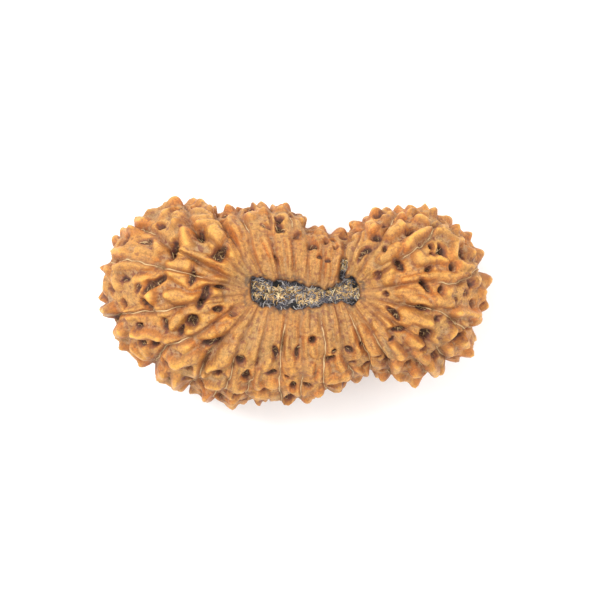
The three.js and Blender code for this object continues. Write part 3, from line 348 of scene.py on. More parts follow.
# Pits of the upper face: (x, y, half width, half length, bearing in degrees, depth)
PITS = [
    # left lobe
    (-12.9, 7.4, 0.28, 0.55, -40, 1), (-10.9, 8.5, 0.25, 0.5, 90, 0.8), (-7.4, 7.5, 0.38, 0.45, 0, 1.1),
    (-9, 6.2, 0.36, 0.65, -75, 1.2), (-11.4, 5.2, 0.4, 1, -85, 1.3), (-7.3, 4.4, 0.4, 0.85, 25, 1.1),
    (-13.9, 5.5, 0.45, 0.5, 0, 0.4), (-16.1, 2.4, 0.32, 0.5, -10, 0.6), (-13.2, 2, 0.36, 1.4, 38, 0.9),
    (-14.7, 1.5, 0.28, 0.6, 35, 0.5), (-13.9, -0.2, 0.36, 0.8, -48, 1.1),
    (-16.2, -0.4, 0.26, 0.42, -55, 1), (-14.2, -1.9, 0.26, 0.36, 50, 1),
    (-12.2, -2.1, 0.26, 0.5, -70, 0.8), (-9.8, -1.8, 0.5, 0.6, 10, 1.3),
    (-10.6, -2.6, 0.28, 0.5, 60, 0.6), (-7.2, -0.8, 0.28, 0.45, 10, 0.9),
    (-14.6, -3.2, 0.25, 0.5, -15, 0.6), (-13.4, -4.1, 0.3, 0.45, 35, 1),
    (-12.2, -5.6, 0.26, 0.48, -85, 0.9), (-10.2, -5.7, 0.25, 0.5, 10, 0.8), (-10, -7.2, 0.3, 0.4, 0, 0.9),
    (-7.2, -6.8, 0.34, 0.4, 0, 1), (-4.7, -7.2, 0.28, 0.6, 80, 1), (-7.6, -3.7, 0.34, 1.4, 17, 0.9),
    (-3.6, -1.9, 0.15, 0.5, 60, 0.5), (-9.6, 2.3, 0.26, 0.8, 80, 0.6), (-9, 0.1, 0.36, 1, 80, 0.7),
    (-7, 1.3, 0.18, 1.1, 3, 0.6),
    # waist, upper edge
    (-1.3, 7.7, 0.3, 0.32, 0, 0.8), (-1.6, 7.1, 0.36, 0.4, 0, 0.9), (-3.1, 7.2, 0.2, 0.4, -40, 0.4),
    (0.1, 6.2, 0.22, 0.25, 0, 0.6), (-2, 4.2, 0.2, 0.4, -75, 0.6), (2.4, 4.2, 0.25, 0.27, 0, 0.8),
    (1.8, 5.2, 0.32, 0.42, 40, 0.7), (2.9, 5.8, 0.2, 0.22, 0, 0.5), (3.8, 5.8, 0.2, 0.24, 0, 0.5),
    (4, 4.9, 0.2, 0.25, 0, 0.5), (3.4, 3.9, 0.16, 0.2, 0, 0.5),
    # waist, lower edge
    (-1.6, -4.9, 0.22, 0.75, -70, 0.7), (1.9, -3.3, 0.3, 0.36, 30, 0.8), (0.3, -4.9, 0.14, 0.7, 75, 0.5),
    (3.5, -5.4, 0.36, 0.4, 0, 1), (3.9, -4.8, 0.2, 0.25, 0, 0.5), (-2.2, -6.9, 0.3, 0.4, 20, 0.6),
    (-0.8, -7.1, 0.2, 0.26, -30, 0.7), (1.2, -7.8, 0.28, 0.5, -50, 0.9), (-0.2, -8.2, 0.26, 0.5, 80, 1),
    (-2.8, -8.5, 0.34, 0.4, 0, 1), (-5.2, -8.8, 0.3, 0.5, 10, 0.8), (5.8, -5.7, 0.3, 0.34, 0, 0.8),
    (5.3, -4.4, 0.22, 0.3, 0, 0.6), (6.8, -6, 0.24, 0.6, 55, 0.8),
    # right lobe
    (8.6, 7.3, 0.25, 0.45, 85, 1), (9.4, 6.8, 0.3, 0.4, 60, 1), (7.5, 6.2, 0.25, 0.4, 0, 0.9),
    (10.7, 7.5, 0.28, 0.5, 10, 0.9), (11.3, 6.2, 0.34, 0.6, 30, 1.2), (13.3, 7.2, 0.34, 0.45, 70, 0.9),
    (8.7, 5.2, 0.22, 0.4, -70, 0.8), (6.9, 4.5, 0.24, 1, 55, 0.7), (12.9, 5.2, 0.28, 0.4, 80, 1.1),
    (14.2, 4.5, 0.42, 0.6, 60, 1.1), (12.9, 4.1, 0.28, 0.3, 0, 1), (16.1, 4.3, 0.4, 0.55, -10, 1.1),
    (14.7, 3.3, 0.3, 0.5, 15, 1), (8, 2.8, 0.3, 0.4, 70, 0.9), (10.1, 3.4, 0.28, 0.8, -60, 1),
    (12.4, 3, 0.28, 0.4, 10, 0.9), (12.4, 1.2, 0.28, 0.95, -38, 1), (14, 1.2, 0.16, 0.4, 75, 0.7),
    (17.1, 1.5, 0.28, 0.3, 0, 0.8), (16.1, 0.8, 0.34, 0.5, 20, 0.4), (15.1, 0.2, 0.2, 0.3, -60, 0.6),
    (16.9, -0.4, 0.3, 0.5, -15, 1), (12.4, -0.6, 0.18, 0.5, -10, 0.7), (9.4, -1.2, 0.28, 0.85, -50, 1),
    (10, -2.6, 0.22, 0.6, 12, 0.8), (9, -3.3, 0.2, 0.3, 20, 0.6), (12.7, -2.8, 0.45, 0.7, -55, 1.2),
    (15.2, -3.2, 0.34, 0.6, 15, 1.1), (12.3, -4.2, 0.24, 0.4, 10, 0.8), (13.7, -5, 0.36, 0.5, -50, 1.1),
    (11.1, -5.6, 0.28, 0.4, 50, 0.9), (8.9, -5.5, 0.26, 0.6, 75, 0.8), (7.8, -4.9, 0.18, 0.5, 40, 0.6),
    (6.6, -4.1, 0.18, 0.25, 0, 0.5), (13.6, -1.7, 0.26, 0.5, 20, 0.6),
]
# How much height counts in the choice of the spot at (x, y), where the side is steep
HIGHER = 0.02
# The flanks of a lump: their width and two powers; and how much of the net's height is left at the waist
SHOULDER = 0.38
FLANK_POWER = 2.4
FOOT_POWER = 1.4
WAIST_NET = 0.72
# Knobs set by chance: least gap, reach, height and half width, and those of the flat top
LUMP_GAP = 1.75
KNOB_REACH = 1.7
KNOB_HEIGHT = (0.25, 0.4)
KNOB_HALF = (0.55, 0.35)
KNOB_TOP = 0.5
KNOB_TOP_HALF = 0.4
# Webs between knobs: how near the two are, half width and height
RIDGE_REACH = 2.9
WEB_HALF = (0.18, 0.22)
WEB_HEIGHT = (0.42, 0.26)
# Pits set by chance: least gap, half width, how much longer they can be, depth, span of bearings
PIT_GAP = 1.7
HOLE_HALF = (0.24, 0.26)
HOLE_STRETCH = 2.2
HOLE_DEPTH = (0.5, 0.8)
HOLE_TILT = 2.2
# Every pit: its reach, the share of its depth that it sinks, how uneven its edge is and how fast that
# varies, its wall and its dark patch in half widths, and the depths over which it turns dark; the dark
# patch is partly dried pulp and partly painted shade, which deepens with the pit's depth
PIT_REACH = 2.0
PIT_SINK = 0.85
PIT_RAGS = 0.3
PIT_RAG_RATE = 1.6
PIT_WALL = (0.55, 1.45)
PIT_STAIN_AND_SHADE = (0.85, 1.35)
PIT_DARK = (0.05, 0.55)
# How clear those set by chance stay of the listed ones, of each other and of the mouth, and how much
# more of the mouth at the waist
LUMP_CLEAR = dict(ridge=1.35, pit=0.7, mouth=2.9)
PIT_CLEAR = dict(ridge=1.0, pit=1.1, mouth=2.4, lump=0.8, web=0.55)
WAIST_CLEAR = 2


def scatter(p, chosen, seed, gap, fits):
    """Places in a shuffled order, each kept if it is clear of the ones kept before and it fits."""
    rank = chance(p[chosen, 0] * 3.7, p[chosen, 1] * 5.3, p[chosen, 2] * 7.9 + seed)
    kept = []
    for i in chosen[np.argsort(-rank)]:
        if fits(p[i]) and (not kept or np.linalg.norm(p[kept] - p[i], axis=1).min() >= gap):
            kept.append(i)
    return kept


def features_of(spots):
    """Every ridge, knob and pit: those listed, and the rest by chance where they leave room."""
    p, out, lobe = spots["p"], spots["out"], spots["lobe"]
    upper = np.nonzero(spots["t"] < 0.5)[0]

    def above(x, y):
        """The spot of the upper face that lies at (x, y)."""
        q = p[upper]
        drop = HIGHER * (LOBE_CROWN - q[:, 2]) ** 2
        return upper[np.argmin((q[:, 0] - x) ** 2 + (q[:, 1] - y) ** 2 + drop)]

    ridges, pits = [], []
    for x, y, to_x, to_y, half, height in LUMPS:
        ridges.append(dict(a=p[above(x, y)], b=p[above(to_x, to_y)], half=half, height=height))
    for x, y, half, long, bearing, depth in PITS:
        i = above(x, y)
        heading = np.array([math.cos(math.radians(bearing)), math.sin(math.radians(bearing)), 0])
        axis = heading - out[i] * (heading @ out[i])
        pits.append(dict(p=p[i], axis=axis / np.linalg.norm(axis), half=half, long=long, depth=depth))
    crest_a, crest_b = np.array([r["a"] for r in ridges]), np.array([r["b"] for r in ridges])
    middles, longs = np.array([h["p"] for h in pits]), np.array([h["long"] for h in pits])
    gap = mouth_gap(p)

    def inside(margin):
        return np.nonzero((spots["share"] > 1e-6) & (gap > margin + WAIST_CLEAR * (1 - lobe)))[0]

    def is_clear(q, room):
        """Whether q leaves this room round the listed ridges and pits."""
        off_pits = (np.linalg.norm(middles - q, axis=1) - longs).min()
        return line_gap(q, crest_a, crest_b).min() > room["ridge"] and off_pits > room["pit"]

    lumps = scatter(p, inside(LUMP_CLEAR["mouth"]), 1, LUMP_GAP, lambda q: is_clear(q, LUMP_CLEAR))
    tops = p[lumps]
    joined = []
    for i, lump in enumerate(lumps):
        d = np.linalg.norm(tops - p[lump], axis=1)
        near = [j for j in np.argsort(d, kind="stable") if j != i][:6]
        near = [j for j in near if d[j] < RIDGE_REACH and spots["strip"][lumps[j]] == spots["strip"][lump]]
        joined += [(i, j) for j in near[:2] if (j, i) not in joined]
    web_a, web_b = tops[[i for i, _ in joined]], tops[[j for _, j in joined]]

    def pit_fits(q):
        off_tops = np.linalg.norm(tops - q, axis=1).min()
        off_webs = line_gap(q, web_a, web_b).min()
        return off_tops > PIT_CLEAR["lump"] and off_webs > PIT_CLEAR["web"] and is_clear(q, PIT_CLEAR)

    holes = scatter(p, inside(PIT_CLEAR["mouth"]), 9, PIT_GAP, pit_fits)
    for a, b in zip(web_a, web_b):
        half = drawn(WEB_HALF, b[0], a[1], 12)
        ridges.append(dict(a=a, b=b, half=half, height=drawn(WEB_HEIGHT, a[0], b[0], 2)))
    knobs = []
    for q in tops:
        half = drawn(KNOB_HALF, q[1], q[2], 5)
        knobs.append(dict(p=q, half=half, height=drawn(KNOB_HEIGHT, q[0], q[1], 4)))
    for i in holes:
        q = p[i]
        tilt = (chance(q[0], q[2], 8) - 0.5) * HOLE_TILT * lobe[i]
        axis = spots["along"][i] * math.cos(tilt) + spots["across"][i] * math.sin(tilt)
        half = drawn(HOLE_HALF, q[0], q[1], 6)
        long = half * (1 + HOLE_STRETCH * chance(q[1], q[2], 7) ** 2)
        pits.append(dict(p=q, axis=axis, half=half, long=long, depth=drawn(HOLE_DEPTH, q[2], q[0], 3)))
    for ridge in ridges:
        ridge["a"], ridge["b"] = sway(np.array([ridge["a"], ridge["b"]]))
    for thing in knobs + pits:
        thing["p"] = sway(thing["p"][None])[0]
    return ridges, knobs, pits


def mesa(d, half):
    """Height of a lump at distance d from its crest: a flat top and a steep flank."""
    return (1 - np.clip(d / (half + SHOULDER), 0, 1) ** FLANK_POWER) ** FOOT_POWER


def net_at(swayed, ridges, knobs):
    """Height of the net that the ridges and the knobs make together."""
    crest, peak = np.zeros(len(swayed)), np.zeros(len(swayed))
    for ridge in ridges:
        a, b, half = ridge["a"], ridge["b"], ridge["half"]
        near = np.linalg.norm(swayed - (a + b) / 2, axis=1) < math.dist(a, b) / 2 + half + SHOULDER
        crest[near] = np.maximum(crest[near], ridge["height"] * mesa(line_gap(swayed[near], a, b), half))
    for knob in knobs:
        d = np.linalg.norm(swayed - knob["p"], axis=1)
        near = d < KNOB_REACH
        cone = knob["height"] * np.exp(-((d[near] / knob["half"]) ** FALL_POWER))
        peak[near] = np.maximum(peak[near], KNOB_TOP * mesa(d[near], KNOB_TOP_HALF) + cone)
    return (crest ** 4 + peak ** 4) ** 0.25


def pits_at(p, swayed, pits):
    """How open the pits are, how deep, and how dark; the dark is partly dried pulp and partly painted
    shade, so a shallow one is paler.
    """
    hole, sunk, dark = (np.zeros(len(p)) for _ in range(3))
    rags = 1 + PIT_RAGS * noise(p * PIT_RAG_RATE)
    for pit in pits:
        off = swayed - pit["p"]
        near = np.linalg.norm(off, axis=1) <= PIT_REACH
        lengthwise = off[near] @ pit["axis"]
        sideways = np.sqrt(np.maximum((off[near] ** 2).sum(axis=1) - lengthwise ** 2, 0))
        d = np.hypot(sideways / pit["half"], lengthwise / pit["long"]) * rags[near]
        bowl = 1 - ramp(*PIT_WALL, d)
        # Partly painted shade: the dark patch grows with the pit's depth, over the dried pulp's own dark
        stain_and_shade = ramp(*PIT_DARK, pit["depth"]) * (1 - ramp(*PIT_STAIN_AND_SHADE, d))
        hole[near] = np.maximum(hole[near], bowl * min(1, pit["depth"]))
        sunk[near] = np.maximum(sunk[near], bowl * pit["depth"])
        dark[near] = np.maximum(dark[near], stain_and_shade)
    return hole, sunk, dark


# Each strip swells by a share of its width, more on a lobe, up to a limit, and some more than others;
# the arch starts over a distance beyond the mouth
SWELL = 0.07
LOBE_SWELL = 0.09
SWELL_LIMIT = 0.6
FULLNESS = (0.75, 0.5)
ARCH_POWER = 0.6
ARCH_START = 2
# Lumps and pits grow between these distances from the mouth
GROWTH = (0.6, 3.2)
# Seams: half width, depth, where they start and deepen beyond the mouth, and the shares of the depth
# that they start with and gain: (at the waist, more on a lobe)
SEAM_WIDTH = 0.26
SEAM_DEPTH = 0.26
SEAM_START = (0.1, 1)
SEAM_DEEPEN = (1, 4)
SEAM_FIRST = (0.4, -0.25)
SEAM_GAIN = (0.3, 0.55)
# The grain of the whole surface, (height, swells per mm), and how much rougher the mouth is
GRAIN = [(0.22, 0.45), (0.07, 2.2), (0.035, 5)]
MOUTH_ROUGHER = 1.5
# Where the dull skin and the soil round the mouth fade; the soil's edge: (distance, rate, seed)
SKIN_FADE = (2, 7)
SOIL_FADE = (0.1, 0.75)
SOIL_EDGE = (0.45, 1.9, 7.3)


def relief_at(spots, features):
    """How far the shell stands out from the smooth stone, with what its colour follows."""
    ridges, knobs, pits = features
    p, lobe, strip, share = spots["p"], spots["lobe"], spots["strip"], spots["share"]
    width = np.linalg.norm(stone_at(strip + 1, spots["t"])[0] - stone_at(strip, spots["t"])[0], axis=1)
    beyond = mouth_gap(p) - mouth_half(p[:, 0])

    swell = np.minimum(SWELL_LIMIT, (SWELL + LOBE_SWELL * lobe) * width)
    arch = (4 * share * (1 - share) + 1e-9) ** ARCH_POWER
    height = drawn(FULLNESS, strip % SEAMS, 3, 1) * swell * arch * ramp(0, ARCH_START, beyond)
    height += ribs_at(spots, width, beyond)

    grown = ramp(*GROWTH, beyond)
    swayed = sway(p)
    hole, sunk, dark = pits_at(p, swayed, pits)
    net = net_at(swayed, ridges, knobs) * (1 - PIT_SINK * hole) * (WAIST_NET + (1 - WAIST_NET) * lobe)
    height += (net - PIT_SINK * sunk) * grown

    seam = np.exp(-((np.minimum(share, 1 - share) * width / SEAM_WIDTH) ** 2))
    first, gain = (waist + more * lobe for waist, more in (SEAM_FIRST, SEAM_GAIN))
    deepened = (first + gain * ramp(*SEAM_DEEPEN, beyond)) * ramp(*SEAM_START, beyond)
    height -= SEAM_DEPTH * seam * deepened
    mouth = mouth_at(p, beyond)
    height -= MOUTH_DEPTH * mouth
    height += sum(size * noise(p * rate) for size, rate in GRAIN) * (1 + MOUTH_ROUGHER * mouth)
    uneven, rate, seed = SOIL_EDGE
    return height, dict(
        pit=dark * grown, mouth=mouth, seam=seam * (1 - mouth),
        near_mouth=(1 - ramp(*SKIN_FADE, beyond)) * (1 - lobe),
        soil=1 - ramp(*SOIL_FADE, beyond + uneven * noise(p * rate + seed)),
    )


# A lattice four times finer than the solid's shows every pit, at under 200,000 triangles
FINER = 4
features = features_of(lattice(1)[0])
spots, columns, rows = lattice(FINER)
height, marks = relief_at(spots, features)
skin = spots["p"] + spots["out"] * height[:, None]
skin[:, 2] = np.maximum(skin[:, 2], -REST_DEPTH)

# How steep the skin is, and how far it rises above its mean height round about
grid = skin.reshape(columns, rows, 3)
ahead = np.roll(grid, -1, axis=0) - np.roll(grid, 1, axis=0)
facing = unit(np.cross(np.gradient(grid, axis=1), ahead).reshape(-1, 3) + 1e-12)
marks["slope"] = 1 - (facing * spots["out"]).sum(axis=1)
level = height.reshape(columns, rows)
for axis, mode in ((0, "wrap"), (1, "edge")):
    pad = [(FINER, FINER) if side == axis else (0, 0) for side in (0, 1)]
    summed = np.cumsum(np.pad(level, pad, mode=mode), axis=axis)
    first = np.arange(level.shape[axis])
    level = (np.take(summed, first + 2 * FINER, axis) - np.take(summed, first, axis)) / (2 * FINER)
marks["rise"] = height - level.ravel()

# Small openings between the fibres of the upper mouth, painted near black as the shade of deep holes that
# the mesh does not sink: (x, y, radius), and their edge in shares of it
OPENINGS = [
    (-1.72, 1.67, 0.34), (-0.05, -0.3, 0.36), (-3.0, 0.3, 0.28), (5.76, 1.38, 0.24), (5.76, 0.2, 0.24),
]
OPENING_EDGE = (0.8, 1.3)
plan_x, plan_y = spots["p"][:, 0], spots["p"][:, 1]
marks["opening"] = np.zeros(len(skin))
for x, y, radius in OPENINGS:
    shut = ramp(OPENING_EDGE[0] * radius, OPENING_EDGE[1] * radius, np.hypot(plan_x - x, plan_y - y))
    marks["opening"] = np.maximum(marks["opening"], (1 - shut) * (spots["p"][:, 2] > 0))

# The closed mesh: quads between the columns, and a floor in each mouth
number = np.arange(columns * rows).reshape(columns, rows)
following = np.roll(number, -1, axis=0)
corners = (number[:, :-1], number[:, 1:], following[:, 1:], following[:, :-1])
faces = np.stack(corners, axis=-1).reshape(-1, 4).tolist()
for row in (0, rows - 1):
    ring = number[:, row].tolist()
    plan = [Vector((plan_x[k], plan_y[k], 0)) for k in ring]
    for a, b, c in tessellate_polygon([plan]):
        upward = (plan[b] - plan[a]).cross(plan[c] - plan[a]).z > 0
        faces.append((ring[a], ring[b], ring[c]) if upward == (row == 0) else (ring[a], ring[c], ring[b]))
stone_mesh = bpy.data.meshes.new("stone")
stone_mesh.from_pydata(((skin - MIDDLE) * MM).tolist(), [], faces)
stone_mesh.update()
stone_mesh.shade_smooth()
for key, values in marks.items():
    stone_mesh.attributes.new(key, "FLOAT", "POINT").data.foreach_set("value", values.astype(np.float32))

# Each point's place in the grain of the wood, on a tube of this radius and length: its streaks run
# along the seams, about 0.25 mm wide and 2 to 3 mm long
STREAKS = 60.0
STREAK_LENGTHS = 14.0
bearing = TURN * spots["u"]
strand = [STREAKS * np.cos(bearing), STREAKS * np.sin(bearing), STREAK_LENGTHS * spots["t"]]
strand = np.stack(strand, axis=1).astype(np.float32)
stone_mesh.attributes.new("strand", "FLOAT_VECTOR", "POINT").data.foreach_set("vector", strand.ravel())


def show(name, data):
    """An object at the origin, in the scene."""
    thing = bpy.data.objects.new(name, data)
    bpy.context.scene.collection.objects.link(thing)
    return thing


def linear(code):
    """An sRGB hex colour as the linear colour that a shader takes."""
    parts = [int(code[i : i + 2], 16) / 255 for i in (0, 2, 4)]
    return [c / 12.92 if c <= 0.04045 else ((c + 0.055) / 1.055) ** 2.4 for c in parts] + [1.0]


def add(tree, kind, inputs=None, out=0, **settings):
    """Adds a node with its settings, and returns an output; an input is a value, or a socket to link."""
    node = tree.nodes.new(kind)
    for key, value in settings.items():
        setattr(node, key, value)
    for key, value in (inputs or {}).items():
        if isinstance(value, bpy.types.NodeSocket):
            tree.links.new(value, node.inputs[key])
        else:
            node.inputs[key].default_value = value
    return node.outputs[out] if node.outputs else None


def material_of(name):
    """A new material, its tree and its Principled shader."""
    material = bpy.data.materials.new(name)
    material.use_nodes = True
    return material, material.node_tree, material.node_tree.nodes["Principled BSDF"]


# Endocarp, the woody shell of the fruit stone, washed, dried and oiled by handling: smooth and waxy on the
# crests, which are painted lighter for wax and wear and also as painted highlight, brightest on their
# tops;
# painted shade makes the steep flanks a darker orange and the low places a darker brown; dull, dusty and
# specked in the hollows. The patterns, in mm, are those of its fibres and grit; the finest is drawn
# coarser than real, to show at all.
CLOUD_SIZE = 3.2
GRAIN_SIZE = 0.42
SPECK_SIZE = 0.5
FINE_SIZE = 0.24
GRIT_HEIGHT = 0.1
MAP = "ShaderNodeMapRange"
MATH = "ShaderNodeMath"
BLEND = "ShaderNodeMix"
MIX = dict(data_type="RGBA", clamp_factor=True, out=2)
TIMES = dict(operation="MULTIPLY")
shell, tree, bsdf = material_of("oiled_endocarp")
place = add(tree, "ShaderNodeTexCoord", out="Object")
strand = add(tree, "ShaderNodeAttribute", out="Vector", attribute_name="strand")
mark = {key: add(tree, "ShaderNodeAttribute", out="Fac", attribute_name=key) for key in marks}
swells = []
for where, size, detail, roughness in (
    (place, CLOUD_SIZE * MM, 3.0, 0.5), (place, GRAIN_SIZE * MM, 4.0, 0.65),
    (place, SPECK_SIZE * MM, 3.0, 0.6), (place, FINE_SIZE * MM, 3.0, 0.85), (strand, 1.0, 3.0, 0.6),
):
    swells.append(add(tree, "ShaderNodeTexNoise", {
        "Vector": where, "Scale": 1 / size, "Detail": detail, "Roughness": roughness}, out="Fac"))
clouds, grains, specks, fine, streaks = swells

# Ground, powdery near the mouth; crests lighter for wax and wear and as painted highlight, less of both
# there; a brighter painted highlight on their tops; painted shade on the steep flanks and in the low
# places
cloudy = add(tree, MAP, {"Value": clouds, "From Min": 0.35, "From Max": 0.65})
colour = add(tree, BLEND, {0: cloudy, 6: linear("ac8452"), 7: linear("bd7c38")}, **MIX)
powder = add(tree, MATH, {0: mark["near_mouth"], 1: 0.55}, **TIMES)
buffing_and_highlight = add(tree, MAP, {"Value": mark["near_mouth"], "To Min": 1.0, "To Max": 0.42})
# Crests are painted lighter: partly wax and wear, partly painted highlight
crest = add(tree, MAP, {"Value": mark["rise"], "From Min": -0.12, "From Max": 0.34})
crest = add(tree, MATH, {0: crest, 1: buffing_and_highlight}, **TIMES)
# Painted highlight: the parts that rise highest above their surroundings are painted brightest yellow
top = add(tree, MAP, {"Value": mark["rise"], "From Min": 0.25, "From Max": 0.7})
# Painted shade: the steep flanks turn a darker orange
steep = add(tree, MAP, {"Value": mark["slope"], "From Min": 0.06, "From Max": 0.42, "To Max": 0.75})
shaded_flank = add(tree, BLEND, {0: cloudy, 6: linear("9c632c"), 7: linear("b86424")}, **MIX)
# Painted shade: places lower than their surroundings turn darker brown
deep = add(tree, MAP, {"Value": mark["rise"], "From Min": -0.05, "From Max": -0.4, "To Max": 0.6})
for share, coat in (
    (powder, linear("a67c4a")), (crest, linear("d89a43")), (top, linear("f0b24e")), (steep, shaded_flank),
    (deep, linear("84522a")),
):
    colour = add(tree, BLEND, {0: share, 6: colour, 7: coat}, **MIX)

# Fine mottling and streaks along the fibres, fainter on the buffed crests
mottle = add(tree, MAP, {
    "Value": fine, "From Min": 0.32, "From Max": 0.68, "To Min": 0.58, "To Max": 1.33})
streak = add(tree, MAP, {
    "Value": streaks, "From Min": 0.35, "From Max": 0.65, "To Min": 0.84, "To Max": 1.14})
mottle = add(tree, MATH, {0: mottle, 1: streak}, **TIMES)
mottled = add(tree, "ShaderNodeHueSaturation", {"Color": colour, "Value": mottle})
matt = add(tree, MAP, {"Value": crest, "To Min": 1.0, "To Max": 0.6})

# Dust in the hollows, brown specks there and a few elsewhere, and the darker seams
low = add(tree, MAP, {"Value": mark["rise"], "From Min": 0.0, "From Max": -0.3})
dust = add(tree, MAP, {"Value": grains, "From Min": 0.4, "From Max": 0.6})
dust = add(tree, MATH, {0: dust, 1: low}, **TIMES)
spotty = add(tree, MAP, {"Value": specks, "From Min": 0.54, "From Max": 0.62})
few = add(tree, MAP, {"Value": crest, "From Min": 0.3, "From Max": 1.0, "To Min": 0.38, "To Max": 0.0})
few = add(tree, MATH, {0: few, 1: low}, operation="MAXIMUM")
spotty = add(tree, MATH, {0: spotty, 1: few}, **TIMES)
worn = add(tree, MAP, {"Value": mark["near_mouth"], "To Min": 0.5, "To Max": 0.3})
worn = add(tree, MATH, {0: mark["seam"], 1: worn}, **TIMES)

# Pits with ragged reddish rims and dark hearts, partly dried pulp and partly painted shade; soil round the
# mouth, its dark bed, and its openings, painted near black as the shade of deep holes
ragged = add(tree, MAP, {
    "Value": specks, "From Min": 0.3, "From Max": 0.7, "To Min": -0.4, "To Max": 0.4})
ragged = add(tree, MATH, {0: ragged, 1: mark["pit"]}, operation="ADD")
rim = add(tree, MAP, {"Value": ragged, "From Min": 0.05, "From Max": 0.6, "To Max": 0.8})
reddish = add(tree, BLEND, {0: cloudy, 6: linear("723a34"), 7: linear("86502a")}, **MIX)
# Dark pit hearts: partly dried pulp, partly painted shade
heart = add(tree, MAP, {"Value": ragged, "From Min": 0.5, "From Max": 1.05})
hollow = add(tree, BLEND, {0: grains, 6: linear("331f19"), 7: linear("7a5747")}, **MIX)
smudge = add(tree, MAP, {
    "Value": grains, "From Min": 0.42, "From Max": 0.58, "To Min": 0.1, "To Max": 0.75})
smudge = add(tree, MATH, {0: mark["soil"], 1: smudge}, **TIMES)
bed = add(tree, BLEND, {0: grains, 6: linear("1c1816"), 7: linear("544a42")}, **MIX)
for share, coat in (
    (matt, mottled), (dust, linear("b8946c")), (spotty, linear("7c4632")), (worn, linear("8f5f3c")),
    (rim, reddish), (heart, hollow), (smudge, linear("55483e")), (mark["mouth"], bed),
    # Painted shade: the openings near black
    (mark["opening"], linear("060505")),
):
    colour = add(tree, BLEND, {0: share, 6: colour, 7: coat}, **MIX)
tree.links.new(colour, bsdf.inputs["Base Color"])

# Buffed crests are glossier; grit roughens all of it
gloss = add(tree, MAP, {"Value": crest, "To Min": 0.72, "To Max": 0.42})
tree.links.new(gloss, bsdf.inputs["Roughness"])
grit = add(tree, MATH, {0: grains, 1: fine}, operation="ADD")
grit = add(tree, MATH, {0: grit, 1: GRIT_HEIGHT * MM}, **TIMES)
bump = add(tree, "ShaderNodeBump", {"Height": grit, "Strength": 1.0, "Distance": 1.0})
tree.links.new(bump, bsdf.inputs["Normal"])
bsdf.inputs["IOR"].default_value = 1.48
stone_mesh.materials.append(shell)
stone = show("stone", stone_mesh)
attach(stone, "root")
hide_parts("rudraksha_seed")

# Seam threads: the dried strands of the vascular bundles, which run in the seams between the strips
# and stand proud of them in stretches. They are stuck down by dried pulp.
# The stretches seen on the upper face: seam number, then shares of the way from mouth to mouth
THREADS = {
    0: (0.25, 0.5), 1: (0.2, 0.36), 2: (0.3, 0.38), 7: (0.3, 0.4), 9: (0.26, 0.33), 12: (0.36, 0.5),
    13: (0.15, 0.5), 14: (0.2, 0.5), 15: (0.23, 0.46), 16: (0.3, 0.5), 17: (0.24, 0.5), 18: (0.3, 0.5),
    19: (0.12, 0.5), 20: (0.3, 0.5), 21: (0.12, 0.5), 22: (0.35, 0.5), 23: (0.12, 0.48), 24: (0.2, 0.3),
    26: (0.32, 0.43), 27: (0.18, 0.5),
}
# The stretches below, one to a seam: where each starts and how long it is, by chance
BELOW_START = (0.53, 0.2)
BELOW_LENGTH = (0.08, 0.15)
# A thread's half thickness, the height of its middle, and the step along it as a share of the way
THREAD_RADIUS = 0.05
THREAD_LIFT = 0.05
THREAD_STEP = 0.006
# How far it weaves, in strips, its girth and how that swings, and how its ends taper
THREAD_WEAVE = 0.012
THREAD_GIRTH = 0.8
THREAD_SWING = 0.35
THREAD_END = (0.35, 0.3)
stretches = [(seam, *span) for seam, span in THREADS.items()]
for seam in range(SEAMS):
    first = drawn(BELOW_START, seam, 1, 6)
    stretches.append((seam, first, first + drawn(BELOW_LENGTH, seam, 2, 6)))
us, ts, girths, edges = [], [], [], []
for seam, first, last in stretches:
    count = int((last - first) / THREAD_STEP)
    for i in range(count + 1):
        if i:
            edges.append((len(us) - 1, len(us)))
        us.append(seam + THREAD_WEAVE * math.sin(i * 0.9 + seam))
        ts.append(first + (last - first) * i / count)
        taper = min(1, THREAD_END[0] + THREAD_END[1] * min(i, count - i))
        girths.append(taper * (THREAD_GIRTH + THREAD_SWING * math.sin(i * 0.6 + 2 * seam)))
laid = spots_at(np.array(us), np.array(ts))
lift = relief_at(laid, features)[0] + THREAD_LIFT
lines = bpy.data.meshes.new("seam_threads")
lines.from_pydata(((laid["p"] + laid["out"] * lift[:, None] - MIDDLE) * MM).tolist(), edges, [])
lines.attributes.new("girth", "FLOAT", "POINT").data.foreach_set("value", np.float32(girths))

# Bast, the dried strand of a plant: pale, dull, and browner in patches of about a millimetre
BAST_PATCH = 0.9
bast, tree, bsdf = material_of("dried_bast_strand")
place = add(tree, "ShaderNodeTexCoord", out="Object")
patches = add(tree, "ShaderNodeTexNoise", {"Vector": place, "Scale": 1 / (BAST_PATCH * MM), "Detail": 3.0})
colour = add(tree, BLEND, {0: patches, 6: linear("b98c54"), 7: linear("ecd6a4")}, **MIX)
tree.links.new(colour, bsdf.inputs["Base Color"])
bsdf.inputs["Roughness"].default_value = 0.6


def geometry_tree(name, inputs):
    """A new geometry tree with these inputs, their sockets in it, and their identifiers."""
    tree = bpy.data.node_groups.new(name, "GeometryNodeTree")
    codes = {}
    for key, kind in (("Geometry", "Geometry"), *inputs):
        socket = tree.interface.new_socket(key, in_out="INPUT", socket_type="NodeSocket" + kind)
        codes[key] = socket.identifier
    tree.interface.new_socket("Geometry", in_out="OUTPUT", socket_type="NodeSocketGeometry")
    return tree, tree.nodes.new("NodeGroupInput").outputs, codes


